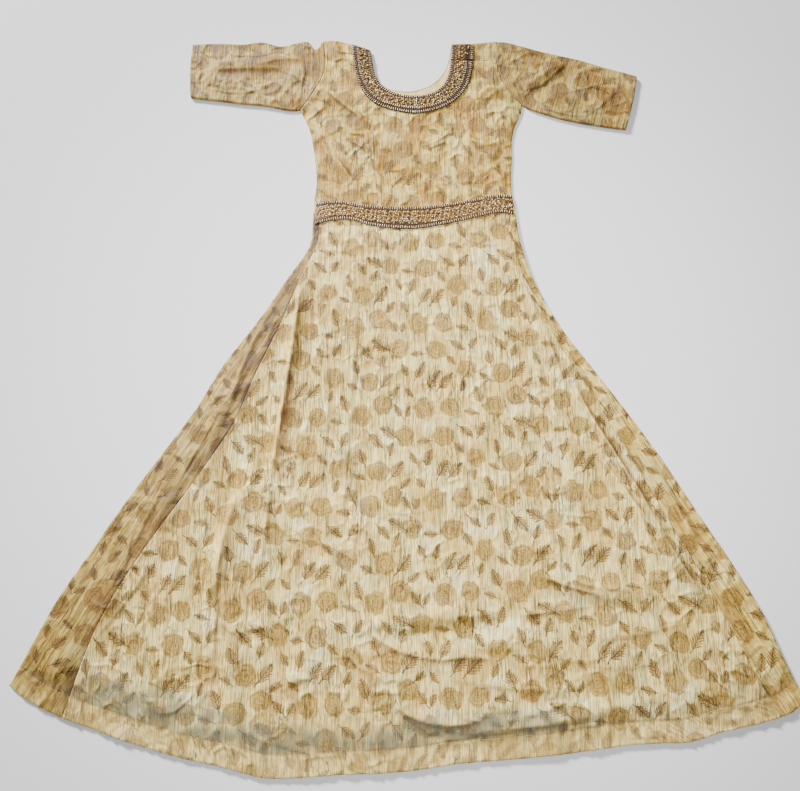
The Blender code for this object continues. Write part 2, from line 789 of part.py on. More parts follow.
def band(name, near, far, steps, across, crowd, colour):
    """Stiff trim laid over the panels between two edge lines."""
    outer = {}
    inner = {}
    places = lengths(near)
    for i in range(steps):
        t = i / (steps - 1)
        t -= crowd * math.sin(2 * math.pi * t)
        a = smooth_curve(places, near, t)
        b = smooth_curve(places, far, t)
        for j in range(across):
            share = j / (across - 1)
            x = a[0] + (b[0] - a[0]) * share
            y = a[1] + (b[1] - a[1]) * share
            high = cloth_top(x, y) + trim_lift
            outer[(i, j)] = (x, y, high + trim_ply)
            inner[(i, j)] = (x, y, high)
    wall(name, outer, inner, grid_cells(steps, across), colour)


def trims():
    """Beaded bands round the neck and over the waist seam."""
    band("neck_trim", points(neck_front), points(trim_outer), 40, 4, 0.0, trim_cloth)
    band("neck_trim_back", [(93.3, 653), (95.8, 688)], [(139, 653), (141, 688)], 4, 4, 0.0, trim_cloth)
    band("waist_trim", points(waist_trim_top), points(waist_trim_low), 33, 4, 0.1, trim_cloth)


front_panel()
back_panel()
lining_tube()
bodice_front()
bodice_back()
sleeve("sleeve_left", sleeve_left, points(armhole_left), 1)
sleeve("sleeve_right", sleeve_right, points(armhole_right), -1)
trims()
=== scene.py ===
import math
import bpy
import bmesh
import mathutils
import numpy as np
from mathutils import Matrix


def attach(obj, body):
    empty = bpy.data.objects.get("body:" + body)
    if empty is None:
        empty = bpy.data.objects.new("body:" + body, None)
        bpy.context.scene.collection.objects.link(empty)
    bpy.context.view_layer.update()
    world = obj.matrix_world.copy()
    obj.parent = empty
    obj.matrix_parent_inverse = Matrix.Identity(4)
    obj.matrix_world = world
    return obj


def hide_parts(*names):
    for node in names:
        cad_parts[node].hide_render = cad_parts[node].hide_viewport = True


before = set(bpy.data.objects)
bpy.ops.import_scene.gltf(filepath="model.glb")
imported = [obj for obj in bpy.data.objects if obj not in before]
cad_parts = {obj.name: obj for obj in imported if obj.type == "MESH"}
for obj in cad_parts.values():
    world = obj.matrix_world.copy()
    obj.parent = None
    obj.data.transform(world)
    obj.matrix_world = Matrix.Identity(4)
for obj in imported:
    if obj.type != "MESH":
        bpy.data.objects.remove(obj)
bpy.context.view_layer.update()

mm = 0.001
print("frame loaded")

# Laying sizes in millimetres, x across, y from hem to neck; left and right as seen from above
waistSeam = [(-180, 310), (-148, 316), (-116, 315), (-69, 307), (-26, 302), (17, 301), (62, 307),
             (107, 315), (154, 324), (184, 328), (214, 327)]
hemEdge = [(-674, -557), (-638, -581), (-585, -606), (-522, -627), (-460, -648), (-378, -670),
           (-297, -687), (-240, -701), (-193, -702), (-117, -697), (-37, -694), (23, -689),
           (83, -680), (163, -674), (244, -667), (304, -660), (365, -652), (425, -648),
           (476, -646), (528, -631), (596, -617), (656, -597), (674, -579)]
# share of the way down, left edge, right edge, width of the back panel that shows at each side
skirtSides = [(0.00, -180, 310, 214, 327, 13, 13), (0.07, -185, 245, 222, 256, 14, 13),
              (0.15, -226, 177, 244, 177, 24, 14), (0.25, -279, 91, 289, 85, 43, 18),
              (0.35, -338, 8, 347, 1, 64, 30), (0.45, -387, -80, 406, -83, 78, 41),
              (0.55, -444, -164, 462, -168, 82, 50), (0.65, -501, -248, 514, -257, 82, 55),
              (0.75, -555, -334, 567, -345, 80, 60), (0.85, -608, -420, 616, -435, 88, 66),
              (0.93, -643, -493, 645, -511, 98, 62), (1.00, -674, -557, 674, -579, 108, 50)]
bodiceLeft = [(-180, 310), (-178, 344), (-175, 376), (-177, 410), (-181, 442), (-185, 465),
              (-190, 490), (-200, 515), (-212, 539)]
bodiceRight = [(214, 327), (209, 357), (209, 396), (212, 431), (212, 452), (213, 471), (220, 502),
               (233, 531), (236, 551)]
armholeLeft = [(-212, 539), (-200, 557), (-188, 577), (-173, 603), (-165, 628), (-164, 653),
               (-165, 677), (-170, 698)]
armholeRight = [(236, 551), (222, 564), (211, 578), (200, 602), (191, 628), (187, 652),
                (185, 675), (184, 697)]
shoulderLeft = [(-170, 698), (-150, 701), (-131, 698), (-100, 688), (-71, 677)]
shoulderRight = [(93, 652), (115, 651), (138, 651), (162, 651), (187, 652)]
shoulderFold = [(96, 693), (117, 693), (141, 693), (162, 696), (184, 697)]
neckFront = [(-71, 677), (-68, 653), (-64, 627), (-53, 602), (-36, 585), (-14, 575), (12, 571),
             (40, 573), (63, 582), (80, 600), (89, 625), (93, 652)]
neckBack = [(-71, 677), (-68, 655), (-64, 630), (-54, 608), (-38, 592), (-15, 585), (8, 583),
            (31, 588), (53, 598), (73, 617), (86, 642), (92, 668), (96, 693)]
trimOuter = [(-109, 691), (-107, 656), (-101, 621), (-90, 588), (-72, 562), (-42, 543), (14, 530),
             (60, 537), (97, 556), (122, 584), (134, 615), (139, 651)]
neckBackSides = ([(93.3, 653), (95.8, 688)], [(139, 653), (141, 688)])
waistTrimTop = [(-175, 334), (-148, 337), (-116, 335), (-87, 329), (-42, 325), (3, 324), (48, 326),
                (94, 333), (139, 342), (169, 349), (209, 351)]
waistTrimLow = [(-176, 289), (-132, 297), (-100, 296), (-71, 286), (-26, 279), (19, 278), (64, 285),
                (109, 295), (154, 307), (183, 312), (211, 309)]
# share along the arm, top fold, underarm fold
sleeveLeft = [(0.00, -170, 698, -212, 539), (0.06, -184, 679, -228, 538), (0.12, -199, 696, -243, 540),
              (0.20, -220, 695, -262, 544), (0.32, -254, 686, -294, 550), (0.46, -293, 696, -330, 553),
              (0.60, -331, 691, -364, 558), (0.74, -367, 692, -388, 561), (0.88, -405, 692, -412, 564),
              (1.00, -437, 690, -434, 567)]
sleeveRight = [(0.00, 184, 697, 236, 551), (0.08, 207, 696, 252, 541), (0.20, 241, 686, 278, 531),
               (0.33, 280, 674, 307, 521), (0.47, 322, 663, 337, 513), (0.61, 364, 652, 367, 507),
               (0.75, 407, 637, 394, 502), (0.88, 440, 627, 419, 498), (1.00, 472, 616, 442, 495)]

cloth = {
    "skirtTop": 8.0, "skirtLoft": 3.5, "bodiceTop": 6.0, "restTop": 2.7, "neckRest": 4.2,
    "edgeEase": 13.0, "hemTop": 4.9, "hemEase": 47.0, "hemSoft": 9.0, "hemBand": 34.0, "ply": 1.2,
    "foldReach": 0.62, "seamGap": 0.15,
}

# Soft folds: x0, y0, x1, y1, bow, width, height; a trough has a height below zero
mainFolds = [
    (-176, 245, -234, -225, 9, 15, 8.0), (-198, 245, -262, -225, 9, 13, -3.5),
    (-208, -235, -172, -285, 0, 14, 4.0), (-270, -175, -350, -430, 5, 16, 5.5),
    (-296, -185, -376, -420, 5, 15, -3.0), (-309, -385, -290, -640, -3, 17, 5.5),
    (-334, -400, -318, -640, -3, 15, -3.0), (-140, 150, -95, -120, 10, 17, 3.5),
    (-132, -140, -60, -395, -8, 17, 5.0), (-108, -160, -36, -380, -8, 15, -3.0),
    (-136, -250, -117, -480, 2, 15, 3.5), (-91, 258, -85, 165, 0, 12, 3.5),
    (60, 265, 92, 60, 5, 14, 3.0), (128, 20, 134, -150, -6, 16, 3.5),
    (303, 10, 497, -440, 7, 18, 6.0), (282, -5, 470, -430, 7, 16, -3.5),
    (396, -180, 520, -450, 6, 16, 3.5), (-190, -560, -120, -440, 0, 20, 3.0),
    (-60, -455, 175, -424, 3, 16, 5.0), (-50, -482, 180, -452, 3, 14, -3.0),
    (112, -492, 220, -478, 0, 14, 3.5), (225, -372, 415, -405, 13, 16, 5.0),
    (235, -400, 400, -428, 13, 14, -3.0), (-90, -540, 35, -525, 0, 14, 3.5),
    (-40, -604, 440, -570, 32, 15, 4.5), (180, -560, 280, -566, 0, 14, 3.5),
    (-480, -330, -560, -560, 4, 17, 3.5), (-420, -250, -470, -430, 6, 16, 3.0),
    (560, -460, 600, -600, -4, 16, 3.5), (-500, -560, -470, -650, 0, 17, 3.0),
    (230, -600, 250, -670, 0, 16, 2.5), (-69, 483, -53, 344, -5, 7, 2.6),
    (134, 501, 127, 354, 6, 7, 2.6), (-10, 478, 7, 385, -8, 11, 2.6),
    (-184, 588, -66, 482, -16, 11, 3.6), (-192, 560, -90, 452, -12, 11, -2.0),
    (-134, 430, -86, 366, 0, 11, 2.6), (150, 540, 172, 575, -14, 11, 2.6),
    (188, 470, 150, 400, 4, 11, 2.4), (-40, 522, 70, 520, -6, 10, 2.2),
    (-395, 650, -225, 655, 6, 15, 3.5), (-420, 612, -300, 590, -4, 13, 2.5),
    (-260, 600, -205, 640, 4, 13, 3.0), (236, 590, 312, 655, 5, 14, 4.5),
    (250, 570, 335, 625, 5, 12, -2.0), (330, 590, 440, 560, 4, 14, 3.0)]
# Narrow creases in the same order, which only the cloth's surface carries
fineFolds = [
    (-178, 215, -232, 20, 4, 4, -1.6), (-214, 100, -236, -60, 4, 5, 1.4),
    (-228, -60, -246, -230, 3, 4, -1.5), (-206, -246, -166, -300, 2, 4, 1.6),
    (-150, 262, -128, 120, 3, 4, 1.1), (-60, 262, -48, 40, 2, 4, 0.9),
    (10, 258, 18, 90, -2, 4, 0.8), (95, 262, 110, 140, 2, 4, 1.0), (168, 262, 196, 120, 3, 4, 1.3),
    (205, 250, 250, 100, 6, 5, 1.5), (186, 120, 230, -60, 4, 5, 1.2), (250, 60, 330, -90, 4, 5, 1.5),
    (352, -40, 430, -190, 4, 5, 1.4), (330, -90, 372, -205, 6, 4, -1.4), (410, -250, 470, -360, 4, 5, 1.5),
    (-68, -60, -40, -200, 3, 5, 1.2), (-118, -190, -84, -330, 3, 4, 1.4), (-150, -330, -130, -420, 3, 4, 1.2),
    (40, -180, 60, -330, -3, 5, 1.0), (120, -190, 140, -300, 3, 5, 1.0), (-420, -120, -470, -260, 4, 5, 1.4),
    (-372, -60, -440, -190, 4, 5, 1.3), (-330, -40, -385, -150, 3, 4, -1.0), (-480, -250, -540, -400, 4, 5, 1.4),
    (-560, -420, -600, -540, 4, 5, 1.5), (-400, -440, -430, -600, 3, 6, 1.6), (-250, -420, -240, -600, 3, 6, 1.5),
    (-215, -400, -170, -470, 6, 5, 1.6), (-160, -470, -110, -520, -6, 5, 1.5), (-130, -520, -60, -560, 5, 5, 1.4),
    (-40, -470, 60, -470, 3, 4, -1.5), (60, -448, 160, -436, 2, 4, 1.4), (110, -500, 180, -506, 3, 4, -1.3),
    (240, -386, 330, -400, 4, 4, -1.6), (330, -402, 410, -396, -5, 4, 1.5), (300, -430, 380, -440, 4, 4, 1.2),
    (-30, -618, 60, -640, 3, 4, -1.6), (60, -640, 200, -632, 3, 4, 1.4), (200, -628, 400, -588, 4, 4, -1.4),
    (430, -470, 500, -520, 4, 5, 1.4), (520, -520, 570, -600, 4, 5, 1.4), (480, -420, 540, -520, 3, 4, 1.2),
    (-120, -590, -50, -610, 3, 5, 1.2), (-560, -500, -520, -560, 3, 5, 1.3), (-350, -560, -340, -650, 0, 5, 1.4),
    (-110, 500, -60, 440, 4, 4, 1.2), (-40, 500, -90, 410, 4, 4, 1.0), (30, 500, 60, 420, 4, 4, 1.1),
    (80, 480, 40, 400, -4, 4, 1.0), (150, 500, 190, 440, 4, 4, 1.2), (160, 430, 200, 380, 4, 4, 1.1),
    (-150, 480, -110, 400, 4, 4, 1.1), (-170, 400, -120, 372, -3, 4, 1.2), (-150, 620, -120, 560, 4, 4, 1.0),
    (-150, 680, -130, 610, 3, 4, 1.0), (150, 630, 180, 560, 4, 4, 1.2), (140, 520, 190, 520, 4, 4, 1.0),
    (-182, 684, -186, 640, 3, 4, -1.8), (-192, 690, -188, 632, -3, 4, 1.6), (-200, 652, -300, 640, 8, 4, 1.3),
    (-210, 610, -250, 570, 4, 4, 1.3), (-300, 668, -400, 662, -4, 4, 1.1), (-330, 620, -290, 600, 3, 4, 1.2),
    (-400, 600, -330, 588, 3, 4, 1.0), (232, 600, 300, 640, 4, 4, -1.4), (270, 560, 350, 545, 4, 4, 1.2),
    (350, 600, 430, 590, 5, 4, 1.2), (260, 660, 330, 610, -4, 4, 1.2), (380, 560, 430, 530, 4, 4, 1.2)]


# Sharp creases: strength (below zero for a sewn dart line), width of the dark flank, places on the way
sharpCreases = [
    (0.7, 5.9, [(-269, 33), (-348, -104), (-454, -314)]),
    (0.6, 5.4, [(-320, -82), (-413, -243), (-500, -403)]),
    (0.6, 5.9, [(-389, -215), (-482, -369), (-563, -516)]),
    (0.5, 4.9, [(-434, -349), (-503, -447), (-590, -555)]),
    (0.5, 5.4, [(338, -116), (418, -279), (457, -417)]),
    (0.5, 5.4, [(456, -243), (535, -400), (579, -516)]),
    (0.95, 8.6, [(-191, 201), (-212, -2), (-238, -207)]),
    (0.6, 8.1, [(-238, -207), (-250, -349)]),
    (0.8, 9.7, [(-198, 214), (-278, 57), (-333, -116)]),
    (0.75, 13.5, [(-307, -44), (-337, -116), (-373, -243)]),
    (0.6, 8.1, [(-224, 136), (-269, 17), (-312, -97)]),
    (0.6, 14.9, [(-393, -211), (-426, -303)]),
    (0.8, 3.8, [(-480, -300), (-489, -369), (-502, -420)]),
    (0.7, 9.7, [(-298, -236), (-324, -355), (-324, -555)]),
    (0.45, 6.5, [(-314, -314), (-311, -516)]),
    (0.35, 3.8, [(-508, -386), (-432, -379), (-332, -400)]),
    (0.5, 8.1, [(-416, -189), (-472, -314), (-525, -434)]),
    (0.45, 10.8, [(-531, -450), (-576, -523), (-609, -565)]),
    (0.4, 5.4, [(-160, 168), (-140, -59), (-151, -243)]),
    (0.4, 8.1, [(-87, 136), (-99, -97), (-110, -279)]),
    (0.5, 5.4, [(-174, -314), (-127, -331), (-81, -355)]),
    (0.85, 5.9, [(-66, -474), (-10, -503), (58, -516), (120, -513), (161, -520)]),
    (0.6, 4.9, [(-134, -516), (-100, -510), (-79, -529), (-38, -542)]),
    (0.85, 6.5, [(-38, -581), (23, -613), (91, -619), (145, -600), (193, -594)]),
    (0.7, 5.9, [(191, -444), (268, -437), (324, -427)]),
    (0.75, 5.4, [(235, -379), (297, -400), (346, -412)]),
    (0.45, 7.0, [(78, -549), (194, -563), (289, -565)]),
    (0.6, 5.4, [(158, -616), (226, -600), (278, -581)]),
    (0.5, 5.4, [(317, -484), (404, -474), (492, -450)]),
    (0.4, 5.4, [(264, -516), (366, -529), (470, -508)]),
    (0.8, 4.9, [(23, -652), (124, -635), (314, -608)]),
    (0.6, 4.9, [(-242, -644), (-127, -670), (-91, -653)]),
    (0.5, 5.9, [(-308, -474), (-249, -464), (-198, -447)]),
    (0.5, 5.4, [(-255, -565), (-198, -552), (-144, -542)]),
    (0.9, 4.6, [(303, -4), (334, -82), (377, -158), (426, -245), (455, -305)]),
    (0.7, 4.6, [(350, -158), (388, -220), (430, -286)]),
    (0.7, 5.4, [(455, -305), (495, -376), (524, -413)]),
    (0.5, 4.9, [(265, -376), (331, -396), (409, -403)]),
    (0.5, 6.5, [(263, 76), (288, -6), (296, -59)]),
    (0.5, 8.1, [(428, -134), (506, -296), (556, -400)]),
    (0.5, 5.4, [(513, -417), (557, -500), (588, -565)]),
    (0.5, 8.1, [(221, 214), (248, 116), (290, 33)]),
    (-1., 3.2, [(-75, 486), (-66, 431), (-54, 355)]),
    (-1., 3.4, [(5, 429), (9, 378)]),
    (-0.8, 2.7, [(-50, 391), (-22, 413), (5, 429)]),
    (1., 3.6, [(-163, 581), (-124, 547), (-87, 515)]),
    (0.5, 2.7, [(-166, 522), (-128, 527), (-87, 522)]),
    (0.7, 3.6, [(-138, 435), (-120, 409), (-101, 381)]),
    (-1., 3.2, [(124, 577), (134, 502), (127, 448), (124, 402), (131, 355)]),
    (0.6, 2.5, [(156, 543), (177, 572)]),
    (0.6, 3.4, [(-121, 475), (-86, 453), (-66, 418)]),
    (0.5, 3.4, [(29, 453), (70, 471), (100, 502)]),
    (0.5, 3.4, [(39, 409), (79, 383), (112, 365)]),
    (0.5, 3.4, [(150, 475), (182, 493), (207, 520)]),
    (0.5, 3.8, [(160, 396), (184, 418), (205, 453)]),
    (0.5, 3.2, [(-167, 475), (-150, 440), (-141, 396)]),
    (0.85, 3.2, [(184, 691), (194, 611), (210, 586), (233, 561)]),
    (0.75, 3.2, [(-210, 663), (-205, 625), (-210, 584), (-215, 552)]),
    (0.5, 8.4, [(-410, 625), (-318, 630), (-215, 628)]),
    (0.6, 3.2, [(-273, 635), (-231, 616), (-190, 588)]),
    (0.5, 3.4, [(-397, 584), (-336, 575), (-280, 588)]),
    (0.5, 3.2, [(-369, 667), (-315, 658), (-258, 672)]),
    (0.6, 3.4, [(-201, 682), (-188, 658), (-191, 621)]),
    (0.75, 3.8, [(238, 581), (279, 595), (303, 618), (333, 644)]),
    (0.6, 3.2, [(425, 604), (461, 572)]),
    (0.6, 3.8, [(269, 543), (359, 524), (412, 561)]),
    (0.5, 3.8, [(315, 575), (364, 584), (410, 602)]),
    (0.4, 4.2, [(220, 658), (235, 621), (255, 602)]),
]
creaseLight = (-0.6, 0.8)  # crests stand on this side of their flanks


def smoothCurve(stations, spots, at):  # smooth values of a table at many stations
    st = np.asarray(stations, float)
    sp = np.asarray(spots, float)
    at = np.asarray(at, float)
    i = np.clip(np.searchsorted(st, at, side="left") - 1, 0, len(st) - 2)
    span = (st[i + 1] - st[i])[:, None]
    t = ((at - st[i]) / span[:, 0])[:, None]
    flat = (sp[i + 1] - sp[i]) / span
    before = np.maximum(i - 1, 0)
    after = np.minimum(i + 2, len(st) - 1)
    gapA = (st[i + 1] - st[before])[:, None]
    gapB = (st[after] - st[i])[:, None]
    slopeA = np.where((i > 0)[:, None], (sp[i + 1] - sp[before]) / gapA, flat)
    slopeB = np.where((i < len(st) - 2)[:, None], (sp[after] - sp[i]) / gapB, flat)
    value = (2 * t ** 3 - 3 * t ** 2 + 1) * sp[i] + (3 * t ** 2 - 2 * t ** 3) * sp[i + 1]
    return value + (t ** 3 - 2 * t ** 2 + t) * slopeA * span + (t ** 3 - t ** 2) * slopeB * span


def bell(value):  # one at nought, falling softly to both sides
    return np.exp(-value ** 2)


def settle(value):  # soft step from nought to one
    return 1 / (1 + np.exp(np.clip(-value, -60, 60)))


def runAlong(spots):  # length from the start to each point
    return np.concatenate([[0], np.cumsum(np.hypot(*np.diff(spots, axis=0).T))])


def lengthShares(spots):
    run = runAlong(np.asarray(spots, float))
    return run / run[-1]


def evenPlaces(spots, shares):  # straight between the points of a line, at shares of its length
    line = np.asarray(spots)
    return np.stack([np.interp(shares, lengthShares(spots), line[:, k]) for k in (0, 1)], axis=-1)


def alongCurve(spots, at):
    return smoothCurve(lengthShares(spots), spots, at)


def lineDistance(x, y, spots):  # distance of many points to a polyline
    best = np.full(x.shape, 1e9)
    for (ax, ay), (bx, by) in zip(spots, spots[1:]):
        dx = bx - ax
        dy = by - ay
        t = np.clip(((x - ax) * dx + (y - ay) * dy) / (dx * dx + dy * dy), 0, 1)
        best = np.minimum(best, np.hypot(x - ax - dx * t, y - ay - dy * t))
    return best


def boxMask(x, y, xs, ys, reach):
    return (x > min(xs) - reach) & (x < max(xs) + reach) & (y > min(ys) - reach) & (y < max(ys) + reach)


def nearestOn(x, y, line):  # distance to a line, the same signed by the side away from the light, share of the way
    best = np.full(x.shape, 1e9)
    signed = np.zeros(x.shape)
    place = np.zeros(x.shape)
    for k in range(len(line) - 1):
        ax, ay = line[k]
        dx = line[k + 1][0] - ax
        dy = line[k + 1][1] - ay
        t = np.clip(((x - ax) * dx + (y - ay) * dy) / (dx * dx + dy * dy), 0, 1)
        gapX = x - ax - dx * t
        gapY = y - ay - dy * t
        away = np.hypot(gapX, gapY)
        side = 1 if -dy * creaseLight[0] + dx * creaseLight[1] > 0 else -1
        closer = away < best
        signed = np.where(closer, away * np.sign(-dy * gapX + dx * gapY) * side, signed)
        place = np.where(closer, (k + t) / (len(line) - 1), place)
        best = np.minimum(best, away)
    return best, signed, place


def foldHeight(x, y, row):  # one soft fold, tapered at both ends
    x0, y0, x1, y1, bow, width, height = row
    size = math.hypot(x1 - x0, y1 - y0)
    near = boxMask(x, y, (x0, x1), (y0, y1), 3 * width + abs(bow))
    found = np.zeros(x.shape)
    if not near.any():
        return found
    line = []
    for t in np.arange(7) / 6:
        lift = 4 * t * (1 - t) * bow
        line.append((x0 + (x1 - x0) * t + lift * (y1 - y0) / size,
                     y0 + (y1 - y0) * t - lift * (x1 - x0) / size))
    best, _, place = nearestOn(x[near], y[near], line)
    taper = np.minimum(1.0, 0.25 + 4.0 * place * (1.0 - place))
    found[near] = height * taper * bell(best / width)
    return found


def sharpCrease(x, y):  # height, painted shade and painted highlight of the sharp creases
    rise = np.zeros(x.shape)
    shade = np.zeros(x.shape)
    gleam = np.zeros(x.shape)
    for strength, width, spots in sharpCreases:
        near = boxMask(x, y, *zip(*spots), 4 * width + 8)
        if not near.any():
            continue
        px = x[near] + 1.5 * softNoise(x[near] / 17, y[near] / 17)
        py = y[near] + 1.5 * softNoise(x[near] / 17 + 40, y[near] / 17)
        best, signed, place = nearestOn(px, py, denseLine(spots, 4 * len(spots)))
        taper = np.clip(5 * place * (1 - place), 0, 1) ** 0.7
        force = abs(strength) * taper * (0.75 + 0.5 * softNoise(px / 30 + width, py / 30))
        if strength < 0:  # a sewn line is thin and sunk in, with painted shade along it
            line = force * bell(best / (0.35 * width))
            shade[near] = np.maximum(shade[near], line)
            rise[near] -= 0.7 * line
            continue
        # painted shade on the flank away from creaseLight, painted highlight along the crest on its side
        ends = bell(np.clip(best - np.abs(signed), 0, None) / width)
        flank = np.where(signed < 0, np.exp(np.minimum(signed, 0) / (1.5 * width)), bell(signed / (0.35 * width)))
        shade[near] = np.maximum(shade[near], np.minimum(1, 1.5 * force) * ends * flank)
        gleam[near] = np.maximum(gleam[near], force * ends * bell((signed - 0.7 * width) / (0.35 * width)))
        past = signed - 0.6 * width
        crest = np.where(past > 0, np.exp(-np.abs(past) / (1.6 * width)), bell(past / (0.75 * width)))
        trough = bell((signed + 0.9 * width) / (0.9 * width))
        rise[near] += force * ends * (min(3.6, 0.5 * width) * crest - min(1.4, 0.2 * width) * trough)
    return rise, shade, gleam


def middleLine(near, far):
    return [((a[0] + b[0]) / 2, (a[1] + b[1]) / 2) for a, b in zip(near, far)]


leftEdge = [(row[1], row[2]) for row in skirtSides]
rightEdge = [(row[3], row[4]) for row in skirtSides]
seamEdges = [bodiceLeft, bodiceRight, shoulderLeft]
neckEdge = neckFront + [(96, 693)]
sleeveEdges = [[(r[1], r[2]) for r in sleeveLeft], [(r[3], r[4]) for r in sleeveLeft],
               [(r[1], r[2]) for r in sleeveRight], [(r[3], r[4]) for r in sleeveRight]]
neckMiddle = middleLine(neckFront, trimOuter) + [(118, 690)]
waistMiddle = middleLine(waistTrimTop, waistTrimLow)


def clothTop(x, y, fine=1.0):  # height of the upper cloth's outer face
    c = cloth
    x = np.asarray(x, float)
    y = np.asarray(y, float)
    above = y - np.interp(x, *zip(*waistSeam))
    edge = np.minimum(lineDistance(x, y, leftEdge), lineDistance(x, y, rightEdge))
    loft = 1 - bell(edge / 45)
    start = 1 - bell(above / 60)
    low = lineDistance(x, y, hemEdge)
    down = settle((low - c["hemEase"]) / c["hemSoft"])
    skirt = c["hemTop"] + (c["skirtTop"] - c["hemTop"] + c["skirtLoft"] * loft * start) * down
    pinch = np.exp(-edge / c["edgeEase"]) * bell(above / 50)
    skirt = c["restTop"] + (skirt - c["restTop"]) * (1 - pinch)
    calmSkirt = 1 - bell(edge / 16)
    blend = bell(above / 35)
    bodice = c["bodiceTop"] + (c["skirtTop"] - c["bodiceTop"]) * blend
    near = np.min([lineDistance(x, y, line) for line in seamEdges], axis=0)
    bodice = c["restTop"] + (bodice - c["restTop"]) * (1 - np.exp(-near / c["edgeEase"]))
    roundNeck = lineDistance(x, y, neckEdge)
    bodice -= (c["bodiceTop"] - c["neckRest"]) * np.exp(-roundNeck / 18) * (1 - blend)
    bodice = np.maximum(bodice, c["restTop"])
    arm = np.min([lineDistance(x, y, line) for line in sleeveEdges], axis=0)
    calmBodice = 1 - bell(np.minimum(arm, near) / 10)
    lower = above < 0
    height = np.where(lower, skirt, bodice)
    calm = np.where(lower, calmSkirt, calmBodice)
    total = np.zeros(x.shape)
    for row in mainFolds:
        total += foldHeight(x, y, row)
    total = np.where(lower & (total < 0), total * down * start, total)
    stiff = np.minimum(lineDistance(x, y, neckMiddle), lineDistance(x, y, waistMiddle) - 5)
    free = 1 - bell(np.maximum(0, stiff - 16) / 12)
    found = height + total * calm * free
    found = np.where(lower, np.maximum(found, np.minimum(height, c["skirtTop"] - 0.2)), found)
    if fine:
        small = np.zeros(x.shape)
        for row in fineFolds:
            small += foldHeight(x, y, row)
        found = found + small * calm * free * fine
    return found


def coonsPoint(top, low, left, right, u, v):  # patch between four edges, arrays of (n, 2)
    u = u[:, None]
    v = v[:, None]
    value = (1 - v) * top[0] + v * low[0] + (1 - u) * left + u * right
    value = value - (1 - u) * (1 - v) * top[1] - u * (1 - v) * top[2]
    return value - (1 - u) * v * low[1] - u * v * low[2]


def skirtPoint(u, v):
    stations = [row[0] for row in skirtSides]
    top = (alongCurve(waistSeam, u), np.array(waistSeam[0]), np.array(waistSeam[-1]))
    low = (alongCurve(hemEdge, u), np.array(hemEdge[0]), np.array(hemEdge[-1]))
    left = smoothCurve(stations, leftEdge, v)
    right = smoothCurve(stations, rightEdge, v)
    return coonsPoint(top, low, left, right, u, v)


def skirtRow(v):
    share = np.linspace(0, 1, 97)
    line = skirtPoint(share, np.full(97, v))
    return line, runAlong(line)


def onRow(row, lengths):
    line, run = row
    at = np.clip(lengths, 0, run[-1])
    return np.interp(at, run, line[:, 0]), np.interp(at, run, line[:, 1])


def stripWidths(v):
    stations = [row[0] for row in skirtSides]
    return smoothCurve(stations, [(row[5], row[6]) for row in skirtSides], [v])[0]


rng = np.random.default_rng(7)
latticeTurns = rng.random((256, 256)) * 2 * np.pi


def softNoise(x, y):  # smooth gradient noise, one unit between its knots
    i = np.floor(x).astype(int)
    j = np.floor(y).astype(int)
    fx = x - i
    fy = y - j
    sx = fx * fx * fx * (fx * (fx * 6 - 15) + 10)
    sy = fy * fy * fy * (fy * (fy * 6 - 15) + 10)
    total = 0
    for di, wx in ((0, 1 - sx), (1, sx)):
        for dj, wy in ((0, 1 - sy), (1, sy)):
            turn = latticeTurns[(i + di) % 256, (j + dj) % 256]
            total = total + wx * wy * (np.cos(turn) * (fx - di) + np.sin(turn) * (fy - dj))
    return total


def crumpleRise(x, y, amount=1.0):  # small uneven creases, sharper along their crests
    wx = x + 14 * softNoise(x / 70, y / 70 + 9)
    wy = y + 14 * softNoise(x / 70 + 31, y / 70)
    ridge = 1 - np.abs(softNoise(wx / 46 + 5, wy / 78 + 3)) * 3.2
    ridge = np.clip(ridge, 0, 1) ** 2.2
    small = 1 - np.abs(softNoise(wx / 21 + 55, wy / 33 + 13)) * 3.0
    small = np.clip(small, 0, 1) ** 2
    where = np.clip(0.45 + 1.6 * softNoise(x / 150 + 2, y / 170 + 17), 0.08, 1)
    return amount * where * (1.35 * ridge + 0.55 * small - 0.45)


def addPiece(name, mesh):
    piece = bpy.data.objects.new(name, mesh)
    bpy.context.scene.collection.objects.link(piece)
    return piece


def solidMesh(name, spots, faces):  # smooth mesh from points in millimetres
    mesh = bpy.data.meshes.new(name)
    mesh.from_pydata((spots.reshape(-1, 3) * mm).tolist(), [], faces)
    mesh.update()
    mesh.polygons.foreach_set("use_smooth", np.ones(len(mesh.polygons), bool))
    return addPiece(name, mesh)


def clothMesh(name, x, y, z, maps, wrap=False, marks=None, flip=False):
    # sheet from arrays of rows and columns, with its UV map in metres and soft marks
    rows, cols = x.shape
    index = np.arange(rows * cols).reshape(rows, cols)
    nextCol = np.roll(index, -1, axis=1) if wrap else index[:, 1:]
    thisCol = index if wrap else index[:, :-1]
    quads = np.stack([thisCol[:-1], thisCol[1:], nextCol[1:], nextCol[:-1]], axis=-1).reshape(-1, 4)
    if flip:
        quads = quads[:, ::-1]
    mesh = bpy.data.meshes.new(name)
    mesh.vertices.add(rows * cols)
    spots = np.stack([x, y, z], axis=-1).reshape(-1, 3) * mm
    mesh.vertices.foreach_set("co", spots.ravel())
    mesh.loops.add(quads.size)
    mesh.loops.foreach_set("vertex_index", quads.ravel())
    mesh.polygons.add(len(quads))
    mesh.polygons.foreach_set("loop_start", np.arange(0, quads.size, 4))
    mesh.polygons.foreach_set("use_smooth", np.ones(len(quads), bool))
    mesh.update(calc_edges=True)
    uv = mesh.uv_layers.new(name="grain")
    flat = np.stack([maps[0], maps[1]], axis=-1).reshape(-1, 2)
    uv.data.foreach_set("uv", (flat[quads.ravel()] * mm).ravel())
    for key, values in (marks or {}).items():
        layer = mesh.attributes.new(name=key, type="FLOAT", domain="POINT")
        layer.data.foreach_set("value", np.asarray(values, float).ravel())
    return addPiece(name, mesh)


